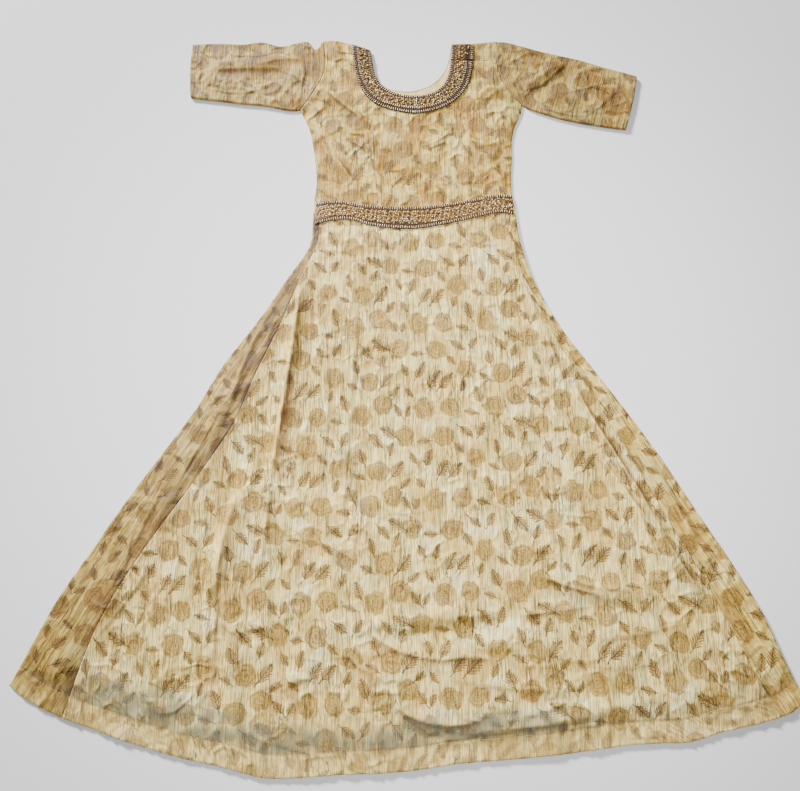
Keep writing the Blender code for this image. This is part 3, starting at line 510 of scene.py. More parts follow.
def mergeDoubles(piece, reach=0.00005):
    edit = bmesh.new()
    edit.from_mesh(piece.data)
    bmesh.ops.remove_doubles(edit, verts=edit.verts, dist=reach)
    edit.to_mesh(piece.data)
    edit.free()


def joinPieces(name, pieces):  # one object from several, with its own name
    bpy.ops.object.select_all(action="DESELECT")
    for piece in pieces:
        piece.select_set(True)
    bpy.context.view_layer.objects.active = pieces[0]
    if len(pieces) > 1:
        bpy.ops.object.join()
    pieces[0].name = name
    pieces[0].data.name = name
    pieces[0].select_set(False)
    return pieces[0]


def shiftedLine(spots, amount):  # polyline moved to its right
    sp = np.asarray(spots, float)
    run = np.empty(sp.shape)
    run[1:-1] = sp[2:] - sp[:-2]
    run[0] = sp[1] - sp[0]
    run[-1] = sp[-1] - sp[-2]
    run /= np.hypot(run[:, 0], run[:, 1])[:, None]
    return sp + np.stack([run[:, 1], -run[:, 0]], axis=-1) * amount


def denseLine(spots, count):
    return alongCurve(spots, np.linspace(0, 1, count))


def crinkleRise(u, v, fine=0.0):  # lengthwise ripples of the crinkled cloth, along v
    slow = np.sin(v / 130 + u / 210)
    wave = 0.30 * np.sin(u * 0.49 + 1.7 * slow + 2.1 * np.sin(u / 47 + v / 400))
    wave = wave * (0.6 + 0.4 * np.sin(v / 75 + u / 31))
    wave = wave + 0.22 * np.sin(u * 0.31 + 1.9 * np.sin(v / 170 + 1.3) + 1.4 * np.sin(u / 61))
    if fine:
        wave = wave + fine * np.sin(u * 0.93 + 1.5 * np.sin(v / 60 + u / 23)) * (0.5 + 0.5 * np.sin(v / 41 + u / 17))
    return wave


skirtValues = {
    "columns": 372, "rows": 226, "stripColumns": 46, "underColumns": 26, "hemWall": 2.1,
    "seamRise": 0.5, "seamWidth": 2.6, "ripple": 1.0, "crumple": 1.9, "leftSideShade": 0.95,
    "edgeWays": ((-0.521, -0.853), (0.49, -0.87)),
}
skirtLength = 960.0
bandShare = cloth["hemBand"] / skirtLength


def skirtRows(count):  # shares down the skirt, crowded at the hem band's top and at the edge
    even = np.linspace(0, 1, count)
    near = [1 - bandShare - 0.004, 1 - bandShare - 0.0012, 1 - bandShare + 0.0012, 1 - bandShare + 0.004]
    shares = np.unique(np.concatenate([even, near, [0.997, 0.999]]))
    keep = [shares[0]]
    for value in shares[1:]:
        if value - keep[-1] > 0.0009:
            keep.append(value)
    keep[-1] = 1.0
    return np.array(keep)


def pastBand(v):  # millimetres past the top of the hem band
    return (v - (1 - bandShare)) * skirtLength


def bandRise(v):  # the double hem stands a little proud, with a groove along its stitches
    roll = 0.9 * np.clip(1 - (1 - v) * skirtLength / 2.5, 0, 1) ** 2
    return 0.5 * settle(pastBand(v) / 0.8) - 0.45 * bell((pastBand(v) - 1.92) / 1.6) - roll


def bandPulls(x, y, v):  # slanting pulls in the double hem
    slant = x * 0.75 + y * (0.8 + 0.3 * softNoise(x / 160, y / 160))
    pull = 1 - np.abs(softNoise(slant / 15, (x - y) / 90 + 4)) * 2.6
    return settle(pastBand(v) / 2.5) * (1.5 * np.clip(pull, 0, 1) ** 2 - 0.3)


def bandMarks(x, y, v, marks):  # the hem band, painted shade along its stitched top edge, painted shade and highlight on its pulls, and the strip above it
    line = bell((pastBand(v) - 0.48) / 2.2)
    pull = bandPulls(x + 3.0, y - 3.0, v) - bandPulls(x - 3.0, y + 3.0, v)
    shade = 0.85 * line * np.clip(0.7 + softNoise(x / 30, y / 30), 0, 1) + np.clip(pull, 0, 1) * 0.8
    marks["shade"] = np.maximum(marks["shade"], np.clip(shade, 0, 1))
    marks["gleam"] = np.maximum(marks["gleam"], np.clip(-pull, 0, 1) * 0.8)
    marks["band"] = settle(pastBand(v) / 0.7)
    marks["sheer"] = sheerShare(x, y, v)


def sheerShare(x, y, v):  # strip above the hem where the lining has ended and the cloth shows through; its grey darkening is painted shade of the dim inside
    away = (1 - v) * skirtLength
    edge = 60 + 5 * np.sin(x / 83) + 4 * np.sin(x / 31 + 1) + 10 * bell((x - 50) / 160)
    edge = edge + 20 * settle(-(x + 160) / 60) - 18 * settle((x - 330) / 40) - 40 * settle(-(x + 545) / 10)
    patch = np.clip(0.75 + 0.9 * softNoise(x / 38, y / 26) + 0.5 * softNoise(x / 15, y / 19), 0.15, 1)
    right = 0.2 + 0.8 * settle((300 - x) / 45)
    return settle((edge - away) / 3.5) * settle((away - 34) / 0.8) * patch * right


def seamShape(away):
    s = skirtValues
    return s["seamRise"] * bell((away - 2.6) / s["seamWidth"]) - 0.4 * bell(away / 0.8)


def seamShade(x, y, away, left, spread=1.0):  # uneven painted golden shade beside the side seams
    strength = np.where(left, 1.0, 0.45) * np.clip(0.65 + 1.5 * softNoise(x / 45, y / 60), 0, 1)
    reach = spread * (5 + 9 * np.clip(0.5 + softNoise(x / 90, y / 90), 0, 1))
    return strength * np.exp(-(np.clip(np.abs(away) - 1.5, 0, None) / reach) ** 1.5)


def creaseMarks(x, y, calm):  # sharp creases kept off the edges, as a height and two marks: painted shade and painted highlight
    rise, shade, gleam = sharpCrease(x, y)
    return rise * calm, {"shade": shade * np.clip(calm + 0.3, 0, 1), "gleam": gleam * calm}


def makeSkirtFront():
    s = skirtValues
    rows = skirtRows(s["rows"])
    nearSeam = np.array([0, 0.7, 1.5, 2.6, 4.2, 6.2])
    xs = []
    ys = []
    away = []
    for k, v in enumerate(rows):
        row = skirtRow(v)
        left, right = stripWidths(v)
        start = left + cloth["seamGap"]
        end = row[1][-1] - right - cloth["seamGap"]
        inner = np.linspace(start + 8.5, end - 8.5, s["columns"])
        at = np.concatenate([start + nearSeam, inner, end - nearSeam[::-1]])
        x, y = onRow(row, at)
        if k == 0:
            y = y - 0.15
        xs.append(x)
        ys.append(y)
        away.append(np.minimum(at - start, end - at))
    x = np.array(xs)
    y = np.array(ys)
    away = np.array(away)
    v = np.repeat(rows[:, None], x.shape[1], axis=1)
    z = clothTop(x, y) + bandRise(v) + bandPulls(x, y, v)
    calm = 1 - bell(away / 9)
    waistCalm = 1 - bell(v * skirtLength / 22)
    rise = crinkleRise(x, y) * s["ripple"] + crumpleRise(x, y, s["crumple"]) * (away > 0)
    sharp, marks = creaseMarks(x, y, calm * waistCalm)
    z = z + rise * calm * waistCalm + sharp + seamShape(away)
    marks["shade"] = np.maximum(marks["shade"], 0.6 * seamShade(x, y, away, x < 0, 0.7))
    # the hem turns under and runs back up inside
    base = z[-1:]
    z = np.concatenate([z, base - 0.9, base - 1.7, base - 2.0, base - 2.0, z[-9:-8] - 2.3])
    x, y, v = [np.concatenate([a, a[[-1, -1, -3, -5, -9]]]) for a in (x, y, v)]
    marks = {key: np.pad(value, ((0, 5), (0, 0))) for key, value in marks.items()}
    bandMarks(x, y, v, marks)
    return clothMesh("skirtFrontCloth", x, y, z, (x, y), marks=marks)


def foldTurn(edge, inside, reach, tall, steps=7):  # round a folded edge, from the upper cloth to the lower
    size = math.hypot(inside[0] - edge[0], inside[1] - edge[1])
    angle = np.pi / 2 - np.pi * np.arange(1, steps) / steps
    far = (reach or size) * (1 - np.cos(angle)) / size
    return (edge[0] + (inside[0] - edge[0]) * far, edge[1] + (inside[1] - edge[1]) * far,
            tall / 2 + tall / 2 * np.sin(angle))


def ringMarks(left, right, key, count):
    return np.concatenate([left[key], np.zeros(6 + count + 6), right[key][::-1]])


def makeSkirtBack():
    s = skirtValues
    rows = skirtRows(s["rows"])
    rings = []
    for v in rows:
        row = skirtRow(v)
        full = row[1][-1]
        strips = stripWidths(v)
        halves = []
        for side in (0, 1):
            at = (5.0, full - 5.0)[side]
            x0, y0 = onRow(row, np.array([full * side, (6.0, full - 6.0)[side], at]))
            tall = float(clothTop(x0[2:], y0[2:], 0)[0] + bandRise(np.array([v]))[0])
            reach = cloth["foldReach"] * tall
            fx, fy, fz = foldTurn((x0[0], y0[0]), (x0[1], y0[1]), reach, tall)
            place = strips[side] - cloth["seamGap"]
            share = np.concatenate([[0, 0.012, 0.03, 0.055, 0.09], np.linspace(0.13, 1, s["stripColumns"])])
            lengths = place + (reach - place) * share
            x, y = onRow(row, lengths if side == 0 else full - lengths)
            z = clothTop(x, y) + bandRise(v) + bandPulls(x, y, v)
            away = place - lengths
            calm = (1 - bell(away / 9)) * (1 - bell((lengths - reach) / 9)) * (1 - bell(v * skirtLength / 22))
            rise = crinkleRise(lengths * (1 - 2 * side), np.full(lengths.shape, v * skirtLength))
            rise = rise + crumpleRise(x, y, s["crumple"] * 1.2)
            sharp, sideMarks = creaseMarks(x, y, calm)
            z = z + rise * calm + sharp + seamShape(away)
            sideMarks["shade"] = np.maximum(sideMarks["shade"], seamShade(x, y, away, side == 0, 1.8 - 0.8 * side))
            fade = bell((lengths - reach) / 10)
            z = z * (1 - fade) + tall * fade
            dx, dy = s["edgeWays"][side]  # the print follows the side edge
            outward = (x[-1] - x[0]) * -dy + (y[-1] - y[0]) * dx
            run = np.sign(outward) * tall * 1.2 * np.arange(1, 7) / 7
            across = np.concatenate([-dy * x + dx * y, -dy * x[-1] + dx * y[-1] + run])
            down = np.concatenate([dx * x + dy * y, np.full(6, dx * x[-1] + dy * y[-1])])
            halves.append((np.concatenate([x, fx]), np.concatenate([y, fy]), np.concatenate([z, fz]),
                           across, reach, sideMarks, down))
        lx, ly, lz, lg, lr, leftMarks, leftDown = halves[0]
        rx, ry, rz, rg, rr, rightMarks, rightDown = halves[1]
        under = lr + (full - lr - rr) * np.linspace(0, 1, s["underColumns"])
        ux, uy = onRow(row, under)
        # the left side strip carries painted shade, darker than the right one
        rings.append((np.concatenate([lx, ux, rx[::-1]]), np.concatenate([ly, uy, ry[::-1]]),
                      np.concatenate([lz, np.zeros(len(ux)), rz[::-1]]),
                      np.concatenate([lg, ux, rg[::-1]]),
                      ringMarks(leftMarks, rightMarks, "shade", len(ux)),
                      ringMarks(leftMarks, rightMarks, "gleam", len(ux)),
                      np.concatenate([leftDown, -uy, rightDown[::-1]]),
                      np.concatenate([np.full(len(lx), s["leftSideShade"]), np.zeros(len(ux) + len(rx))])))
    x, y, z, grain, shade, gleam, down, sideShade = [np.array([r[k] for r in rings]) for k in range(8)]
    v = np.repeat(rows[:, None], x.shape[1], axis=1)
    y[0] -= 0.15
    # the hem turns in and runs back up inside the fold
    ring = x.shape[1]
    half = (ring - s["underColumns"]) // 2
    inner = s["hemWall"]
    share = np.arange(1, 7) / 7
    turn = np.full(ring, -inner)
    turn[half:ring - half] = inner
    turn[half - 6:half] = inner * (2 * share - 1)
    turn[ring - half:ring - half + 6] = inner * (1 - 2 * share)
    pull = np.zeros(ring)
    pull[half - 6:half] = pull[ring - half:ring - half + 6] = inner * np.sin(np.pi * share)
    back = [-1, -1, -3, -6, -9]
    lower = np.array([0.5, 1, 1, 1, 1])[:, None]
    inward = np.sign(x[back, ring // 2][:, None] - x[back])
    x = np.concatenate([x, x[back] + inward * pull * lower])
    z = np.concatenate([z, z[back] + turn * lower])
    y, grain, v = [np.concatenate([a, a[back]]) for a in (y, grain, v)]
    marks = {"shade": shade, "gleam": gleam, "sideShade": sideShade}
    marks = {key: np.pad(value, ((0, 5), (0, 0))) for key, value in marks.items()}
    bandMarks(x, y, v, marks)
    down = np.pad(down, ((0, 5), (0, 0)), mode="edge")
    return clothMesh("skirtBackCloth", x, y, z, (grain, -down), marks=marks, flip=True)


liningValues = {
    "rows": 60, "columns": 40, "above": 68.0, "middle": 3.45, "half": 1.95, "inset": 7.0, "topInset": 16.0,
    "sideReach": 3.0,
}


def makeLining():  # plain flattened tube inside the skirt
    s = liningValues
    half = s["half"]
    side = s["sideReach"]
    rows = np.linspace(0.012, 1 - s["above"] / skirtLength, s["rows"])
    rings = []
    for v in rows:
        row = skirtRow(v)
        full = row[1][-1]
        inset = s["inset"] + s["topInset"] * bell(v / 0.07)
        up = inset + side + (full - 2 * inset - 2 * side) * np.linspace(0, 1, s["columns"])
        turn = np.radians([60, 30, 0, -30, -60])
        right = full - inset - side + side * np.cos(turn)
        left = inset + side - side * np.cos(turn)
        at = np.concatenate([up, right, up[::-1], left])
        flat = np.ones(len(up))
        lift = np.concatenate([flat, np.sin(turn), -flat, -np.sin(turn)])
        x, y = onRow(row, at)
        wave = 0.25 * np.sin(at / 19 + v * 5) - 0.3
        rings.append((x, y, s["middle"] + half * lift + wave * (lift == 1), at))
    x, y, z, g = [np.array([r[k] for r in rings]) for k in range(4)]
    # its lower edge is turned under
    x, g = [np.concatenate([a, a[-1:], a[-2:-1]]) for a in (x, g)]
    y = np.concatenate([y, y[-1:] + 0.3, y[-2:-1]])
    inward = np.where(z[-1:] > s["middle"], -0.9, 0.9)
    z = np.concatenate([z, z[-1:] + inward, z[-2:-1] + inward])
    return clothMesh("liningCloth", x, y, z, (g, y), wrap=True)


bodiceValues = {"columns": 190, "rows": 118, "rise": 0.8, "backColumns": 130, "backRows": 80, "flapTurn": 8,
                "flapRows": 26}


def coonsGrid(left, right, top, waist, cols, rows):
    # left and right run upwards, top and waist run to the right; all dense lines
    colShares = np.linspace(0, 1, cols)
    rowShares = np.linspace(0, 1, rows)
    topAt = evenPlaces(top, colShares)
    waistAt = evenPlaces(waist, colShares)
    leftAt = evenPlaces(left, rowShares)
    rightAt = evenPlaces(right, rowShares)
    u, v = np.meshgrid(colShares, rowShares)
    u = u[..., None]
    v = v[..., None]
    grid = (1 - v) * waistAt[None] + v * topAt[None] + (1 - u) * leftAt[:, None] + u * rightAt[:, None]
    grid = grid - (1 - u) * (1 - v) * waistAt[0] - u * (1 - v) * waistAt[-1]
    grid = grid - (1 - u) * v * topAt[0] - u * v * topAt[-1]
    return grid[..., 0], grid[..., 1]


def rimmed(x, y, z, drop, ends="lrtb"):  # edge rows and columns added, turned down by the cloth's wall
    sides = (("b", np.s_[0]), ("t", np.s_[-1]), ("l", np.s_[:, 0]), ("r", np.s_[:, -1]))
    more = [int(key in ends) for key, _ in sides]
    x, y, z = [np.pad(a, (more[:2], more[2:]), mode="edge") for a in (x, y, z)]
    for key, edge in sides:
        if key in ends:
            z[edge] -= drop
    return x, y, z


def makeBodiceFront():
    b = bodiceValues
    left = np.concatenate([denseLine(bodiceLeft, 30), shiftedLine(denseLine(armholeLeft, 30), 0.15)[1:]])
    rightArm = shiftedLine(denseLine(armholeRight[:6], 24), -0.15)[1:]
    right = np.concatenate([denseLine(bodiceRight, 30), rightArm])
    top = np.concatenate([denseLine(shoulderLeft, 16), denseLine(neckFront, 60)[1:],
                          denseLine(shoulderRight, 14)[1:] + (0, -0.15)])
    top[0] = left[-1]
    right[-1] = top[-1]
    waist = denseLine(waistSeam, 60) + (0, 0.5)
    left[0] = waist[0]
    right[0] = waist[-1]
    x, y = coonsGrid(left, right, top, waist, b["columns"], b["rows"])
    z = clothTop(x, y)
    trims = np.minimum(lineDistance(x, y, neckMiddle), lineDistance(x, y, waistMiddle))
    calm = 1 - bell((trims - 16).clip(0) / 8)
    side = np.minimum(lineDistance(x, y, bodiceLeft), lineDistance(x, y, bodiceRight))
    arm = np.minimum(lineDistance(x, y, armholeLeft), lineDistance(x, y, armholeRight))
    calm = calm * (1 - bell(np.minimum(side, arm) / 7))
    z = z + (crinkleRise(x * 1.1, y, 0.12) + crumpleRise(x * 1.3, y * 1.3, 1.2)) * calm * b["rise"]
    sharp, marks = creaseMarks(x, y, calm)
    z = z + 0.8 * bell((arm - 2.4) / 2.4) - 0.4 * bell(arm / 0.7) + sharp
    x, y, z = rimmed(x, y, z, cloth["ply"])
    marks = {key: np.pad(value, 1, mode="edge") for key, value in marks.items()}
    return clothMesh("bodiceFrontCloth", x, y, z, (x, y), marks=marks, flip=True)


def makeBodiceBack():
    b = bodiceValues
    left = np.concatenate([denseLine(bodiceLeft, 20), shiftedLine(denseLine(armholeLeft, 20), 0.15)[1:]])
    right = np.concatenate([denseLine(bodiceRight, 20), shiftedLine(denseLine(armholeRight, 20), -0.15)[1:]])
    fold = denseLine(shoulderFold, 26)
    tall = clothTop(fold[:, 0], fold[:, 1] - 5, 0)
    reach = cloth["foldReach"] * tall.max()
    top = np.concatenate([denseLine(shoulderLeft, 14), denseLine(neckBack, 56)[1:-1], fold - (0, reach)])
    top[0] = left[-1]
    right[-1] = (right[-1][0] - 0.5, right[-1][1] - reach)
    top[-1] = right[-1]
    waist = denseLine(waistSeam, 60) + (0, 0.5)
    left[0] = waist[0]
    right[0] = waist[-1]
    x, y = coonsGrid(left, right, top, waist, b["backColumns"], b["backRows"])
    inside = 1.55 + 0.35 * np.sin(x / 9 + y / 60) * bell((y - 590) / 60)
    inside = np.where(lineDistance(x, y, neckBack) < 3, 1.3, np.maximum(inside, 1.2))
    outer = clothMesh("backUnder", x, y, np.zeros(x.shape), (x, y))
    within = clothMesh("backInside", x, y, inside, (x, y), flip=True)
    index = np.arange(x.size).reshape(x.shape)
    loop = np.concatenate([index[0, :], index[1:, -1], index[-1, -2::-1], index[-2:0:-1, 0]])
    loop = np.append(loop, loop[0])
    rimX = np.array([x.ravel()[loop]] * 2)
    rimY = np.array([y.ravel()[loop]] * 2)
    rimZ = np.array([np.zeros(len(loop)), inside.ravel()[loop]])
    rim = clothMesh("backRim", rimX, rimY, rimZ, (rimX, rimY))
    # flap over the right shoulder, down to the seam on the front
    seam = denseLine(shoulderRight, 26) + (0, 0.15)
    seam[-1, 0] -= 0.6
    lines = []
    corner = (right[-1][0] - fold[-1, 0]) * np.linspace(0, 1, 26) ** 8
    for share in np.linspace(0, 1, b["flapTurn"] + 1):
        angle = np.pi * (share - 0.5)
        far = reach * (1 - np.cos(angle))
        lines.append((fold[:, 0] + corner * (1 - share), fold[:, 1] - far, tall / 2 + tall / 2 * np.sin(angle)))
    for share in np.linspace(0.03, 1, b["flapRows"]):
        px = fold[:, 0] + (seam[:, 0] - fold[:, 0]) * share
        py = fold[:, 1] - reach + (seam[:, 1] - fold[:, 1] + reach) * share
        high = clothTop(px, py)
        ease = bell(share / 0.15)
        lines.append((px, py, high * (1 - ease) + tall * ease))
    fx, fy, fz = [np.array([line[k] for line in lines]) for k in range(3)]
    fx, fy, fz = rimmed(fx, fy, fz, cloth["ply"], "t")
    flap = clothMesh("backFlap", fx, fy, fz, (fx, fy))
    return outer, within, rim, flap


sleeveValues = {"columns": 74, "rows": 118, "under": 16, "turn": 7, "cuffTurn": 18.0, "cuffBow": 3.0}


def makeSleeve(name, rows, armhole, facing):
    s = sleeveValues
    armline = shiftedLine(denseLine(armhole, 40), -0.15 * facing)[::-1]
    armline[0] = shiftedLine(armhole, -0.15 * facing)[-1]
    armline[-1] = shiftedLine(armhole, -0.15 * facing)[0]
    stations = [r[0] for r in rows]
    tops = [(r[1], r[2]) for r in rows]
    lows = [(r[3], r[4]) for r in rows]
    size = float(np.hypot(*np.diff(armline, axis=0).T).sum())
    inset = 3.8 / size
    shares = np.concatenate([[0], np.linspace(inset, 1 - inset, s["columns"]), [1]])
    armAt = evenPlaces(armline, shares)
    along = np.linspace(0, 1, s["rows"])
    topAt = smoothCurve(stations, tops, along)
    lowAt = smoothCurve(stations, lows, along)
    topAt[0] = armline[0]
    lowAt[0] = armline[-1]
    cuff = np.outer(1 - shares, tops[-1]) + np.outer(shares, lows[-1])
    cuff[:, 0] -= facing * s["cuffBow"] * 4 * shares * (1 - shares)
    q, t = np.meshgrid(shares, along)
    q = q[..., None]
    t = t[..., None]
    grid = (1 - t) * armAt[None] + t * cuff[None] + (1 - q) * topAt[:, None] + q * lowAt[:, None]
    grid = grid - (1 - q) * (1 - t) * armline[0] - q * (1 - t) * armline[-1]
    grid = grid - (1 - q) * t * np.array(tops[-1]) - q * t * np.array(lows[-1])
    x = grid[..., 0]
    y = grid[..., 1]
    high = clothTop(x[:, 1:-1], y[:, 1:-1])
    across = q[:, 1:-1, 0] * 150
    armRun = t[:, :1, 0] * np.hypot(tops[-1][0] - tops[0][0], tops[-1][1] - tops[0][1])
    edgeAway = np.minimum(q[:, 1:-1, 0], 1 - q[:, 1:-1, 0]) * 150
    fromArm = armRun + 0 * edgeAway
    calm = (1 - bell(edgeAway / 9)) * (1 - bell(fromArm / 8))
    rise = crinkleRise(armRun + 0 * across, across, 0.1) * 0.9
    rise = rise + crumpleRise(x[:, 1:-1] * 1.2, y[:, 1:-1] * 1.4, 1.4)
    sharp, marks = creaseMarks(x[:, 1:-1], y[:, 1:-1], calm)
    high = high + rise * calm + sharp + 0.9 * bell((fromArm - 2.6) / 2.6) - 0.5 * bell(fromArm / 0.8)
    pastTurn = s["cuffTurn"] - armRun[-1, 0] + fromArm
    high = high - 0.35 * bell(pastTurn / 1.4) + 0.4 * settle(pastTurn / 0.8)
    rings = []
    for j in range(s["rows"]):
        ux = x[j, 1:-1]
        uy = y[j, 1:-1]
        uz = high[j]
        turns = []
        for edge, inside in ((0, 1), (-1, -2)):
            turns.append(foldTurn((x[j, edge], y[j, edge]), (x[j, inside], y[j, inside]), 0, uz[edge], s["turn"]))
        pick = np.linspace(len(ux) - 1, 0, s["under"]).round().astype(int)
        lx, ly = ux[pick], uy[pick]
        tx, ty, tz = turns[1]
        bx, by, bz = [a[::-1] for a in turns[0]]
        rx = np.concatenate([ux, tx, lx, bx])
        ry = np.concatenate([uy, ty, ly, by])
        rz = np.concatenate([uz, tz, np.zeros(len(lx)), bz])
        axis = np.array(tops[-1]) - np.array(tops[0])
        axis = axis / np.hypot(*axis)
        rings.append((rx, ry, rz, rx * axis[0] + ry * axis[1], ry * axis[0] - rx * axis[1]))
    x, y, z, ga, gr = [np.array([r[k] for r in rings]) for k in range(5)]
    # the cuff turns in and runs back up inside the tube
    sign = np.zeros(x.shape[1])
    sign[:s["columns"]] = -1.0
    lower = s["columns"] + s["turn"] - 1
    sign[lower:lower + s["under"]] = 1.0
    step = int(round(s["cuffTurn"] / armRun[-1, 0] * s["rows"]))
    extra = []
    for back, amount in ((-1, 0.6), (-1, 1.2), (-3, 1.2), (-step, 1.2)):
        extra.append((x[back], y[back], z[back] + sign * amount, ga[back], gr[back]))
    x, y, z, ga, gr = [np.concatenate([a, np.array([e[k] for e in extra])]) for k, a in enumerate((x, y, z, ga, gr))]
    more = [(0, full - part) for full, part in zip(x.shape, high.shape)]
    marks = {key: np.pad(value, more) for key, value in marks.items()}
    return clothMesh(name, x, y, z, (ga, gr), wrap=True, marks=marks, flip=facing < 0)


bandValues = {"lift": 2.2, "edge": 1.6, "wave": 0.35}


def bandSides(near, far, count):  # both sides of a band at the same places
    t = np.linspace(0, 1, count)
    places = lengthShares(near)
    return smoothCurve(places, near, t), smoothCurve(places, far, t)


def makeBand(name, near, far, count, across):
    b = bandValues
    inner, outer = bandSides(near, far, count)
    share = np.linspace(0, 1, across)[:, None, None]
    grid = inner * (1 - share) + outer * share
    x, y = grid[..., 0], grid[..., 1]
    run = runAlong((inner + outer) / 2)
    z = clothTop(x, y, 0) + b["lift"]
    wide = np.hypot(x[-1] - x[0], y[-1] - y[0])
    share = np.linspace(0, 1, across)[:, None]
    g = share * wide[None]
    u = np.repeat(run[None], across, axis=0)
    # braid rows stand up in a zig-zag
    phase = np.abs(((u / 9.0 + np.where(share > 0.5, 0.5, 0.0)) % 1.0) * 2 - 1)
    braid = bell((share - 0.5 - (phase - 0.5) * 0.36) / 0.05)
    x, y, z = rimmed(x, y, z + b["wave"] * braid, b["edge"])
    u = np.pad(u, 1, mode="edge")
    g = np.pad(g, 1, mode="edge")
    g[0] -= 1
    g[-1] += 1
    return clothMesh(name, x, y, z, (u, g))


def smallBead(length, radius, sides=6):  # tapered bead along x, closed, few faces
    spots = []
    for share, wide in ((-0.5, 0.55), (-0.32, 1.0), (0.32, 1.0), (0.5, 0.55)):
        for k in range(sides):
            angle = 2 * math.pi * k / sides
            spots.append((share * length, wide * radius * math.cos(angle), wide * radius * math.sin(angle)))
    faces = []
    for ring in range(3):
        for k in range(sides):
            a = ring * sides + k
            b = ring * sides + (k + 1) % sides
            faces.append((a, b, b + sides, a + sides))
    faces.append(tuple(range(sides))[::-1])
    faces.append(tuple(range(3 * sides, 4 * sides)))
    return np.array(spots), faces


def scatterPieces(name, template, places, turns):  # many copies of one small shape in one mesh
    spots, faces = template
    c = np.cos(turns)[:, None]
    s = np.sin(turns)[:, None]
    x = spots[None, :, 0] * c - spots[None, :, 1] * s + places[:, :1]
    y = spots[None, :, 0] * s + spots[None, :, 1] * c + places[:, 1:2]
    z = np.repeat(spots[None, :, 2], len(places), axis=0) + places[:, 2:3]
    step = len(spots)
    every = [tuple(v + k * step for v in face) for k in range(len(places)) for face in faces]
    return solidMesh(name, np.stack([x, y, z], axis=-1), every)


def bandPlaces(near, far, share, pitch, lift, start=2.0, shift=0.0):
    # points along a band at one share of its width, with the direction of the band there
    a, b = bandSides(near, far, 400)
    line = a + (b - a) * share
    run = runAlong(line)
    at = np.arange(start + shift, run[-1] - start, pitch)
    x = np.interp(at, run, line[:, 0])
    y = np.interp(at, run, line[:, 1])
    ahead = np.minimum(at + 1, run[-1])
    dx = np.interp(ahead, run, line[:, 0]) - np.interp(ahead - 2, run, line[:, 0])
    dy = np.interp(ahead, run, line[:, 1]) - np.interp(ahead - 2, run, line[:, 1])
    z = clothTop(x, y, 0) + bandValues["lift"] + lift
    return np.stack([x, y, z], axis=-1), np.arctan2(dy, dx)


def thinCord(name, places, radius, sides=6):  # round cord through many points
    p = np.asarray(places, float)
    run = np.gradient(p, axis=0)
    run /= np.linalg.norm(run, axis=1)[:, None]
    side = np.stack([run[:, 1], -run[:, 0], np.zeros(len(p))], axis=-1)
    up = np.cross(side, run)
    angle = 2 * np.pi * np.arange(sides) / sides
    cosine = np.cos(angle)[None, :, None]
    sine = np.sin(angle)[None, :, None]
    rings = p[:, None] + radius * (cosine * side[:, None] + sine * up[:, None])
    index = np.arange(len(p) * sides).reshape(len(p), sides)
    after = np.roll(index, -1, axis=1)
    quads = np.stack([index[:-1], after[:-1], after[1:], index[1:]], axis=-1).reshape(-1, 4)
    faces = [tuple(q) for q in quads.tolist()]
    faces.append(tuple(index[0].tolist())[::-1])
    faces.append(tuple(index[-1].tolist()))
    return solidMesh(name, rings, faces)


beadValues = {
    "loopPitch": 4.4, "loopLength": 5.0, "loopRadius": 0.78, "goldPitch": 4.4, "goldRadius": 1.3,
    "cordRadius": 0.6, "goldShare": 0.5, "seed": 11,
}


def beadBand(label, near, far, loopShares, cordShares, goldShares):
    b = beadValues
    chance = np.random.default_rng(b["seed"])
    loops = []
    turns = []
    for share in loopShares:
        spots, turn = bandPlaces(near, far, share, b["loopPitch"], b["loopRadius"] * 0.8)
        spots = spots + chance.normal(0, 0.22, spots.shape) * (1, 1, 0.3)
        loops.append(spots)
        turns.append(turn + np.pi / 2 + chance.normal(0, 0.12, turn.shape))
    template = smallBead(b["loopLength"], b["loopRadius"])
    silver = scatterPieces(label + "SilverBeads", template, np.concatenate(loops), np.concatenate(turns))
    cords = []
    for k, share in enumerate(cordShares):
        spots, _ = bandPlaces(near, far, share, 2.5, b["cordRadius"] * 0.5, start=0.5)
        cords.append(thinCord(label + "Cord" + str(k), spots, b["cordRadius"]))
    cord = joinPieces(label + "Cords", cords)
    golds = []
    goldTurns = []
    for k, share in enumerate(goldShares):
        spots, turn = bandPlaces(near, far, share, b["goldPitch"], b["goldRadius"] * 0.7, shift=k * 2.6)
        spots = spots + chance.normal(0, 0.6, spots.shape) * (1, 1, 0.2)
        keep = chance.random(len(spots)) < b["goldShare"]
        golds.append(spots[keep])
        goldTurns.append((turn + chance.uniform(0, 3, turn.shape))[keep])
    template = smallBead(b["goldRadius"] * 2.1, b["goldRadius"], 7)
    gold = scatterPieces(label + "GoldBeads", template, np.concatenate(golds), np.concatenate(goldTurns))
    return silver, cord, gold


stitchValues = {"length": 3.2, "radius": 0.28, "pitch": 5.4}


def hemStitchPlaces():
    v = 1 - bandShare + 0.0022
    row = skirtRow(v)
    full = row[1][-1]
    at = np.arange(9, full - 9, stitchValues["pitch"])
    x, y = onRow(row, at)
    x2, y2 = onRow(row, at + 1)
    left, right = stripWidths(v)
    keep = (np.abs(at - left) > 3) & (np.abs(at - full + right) > 3)
    z = clothTop(x, y) + bandRise(np.full(x.shape, v)) + 0.35
    return np.stack([x, y, z], axis=-1)[keep], np.arctan2(y2 - y, x2 - x)[keep]


# Nodes, one small call for each kind
def mathNode(tree, kind, a, b=0.0, c=0.0, clamp=False):
    node = tree.nodes.new("ShaderNodeMath")
    node.operation = kind
    node.use_clamp = clamp
    for k, value in enumerate((a, b, c)):
        if hasattr(value, "is_output"):
            tree.links.new(value, node.inputs[k])
        else:
            node.inputs[k].default_value = value
    return node.outputs[0]


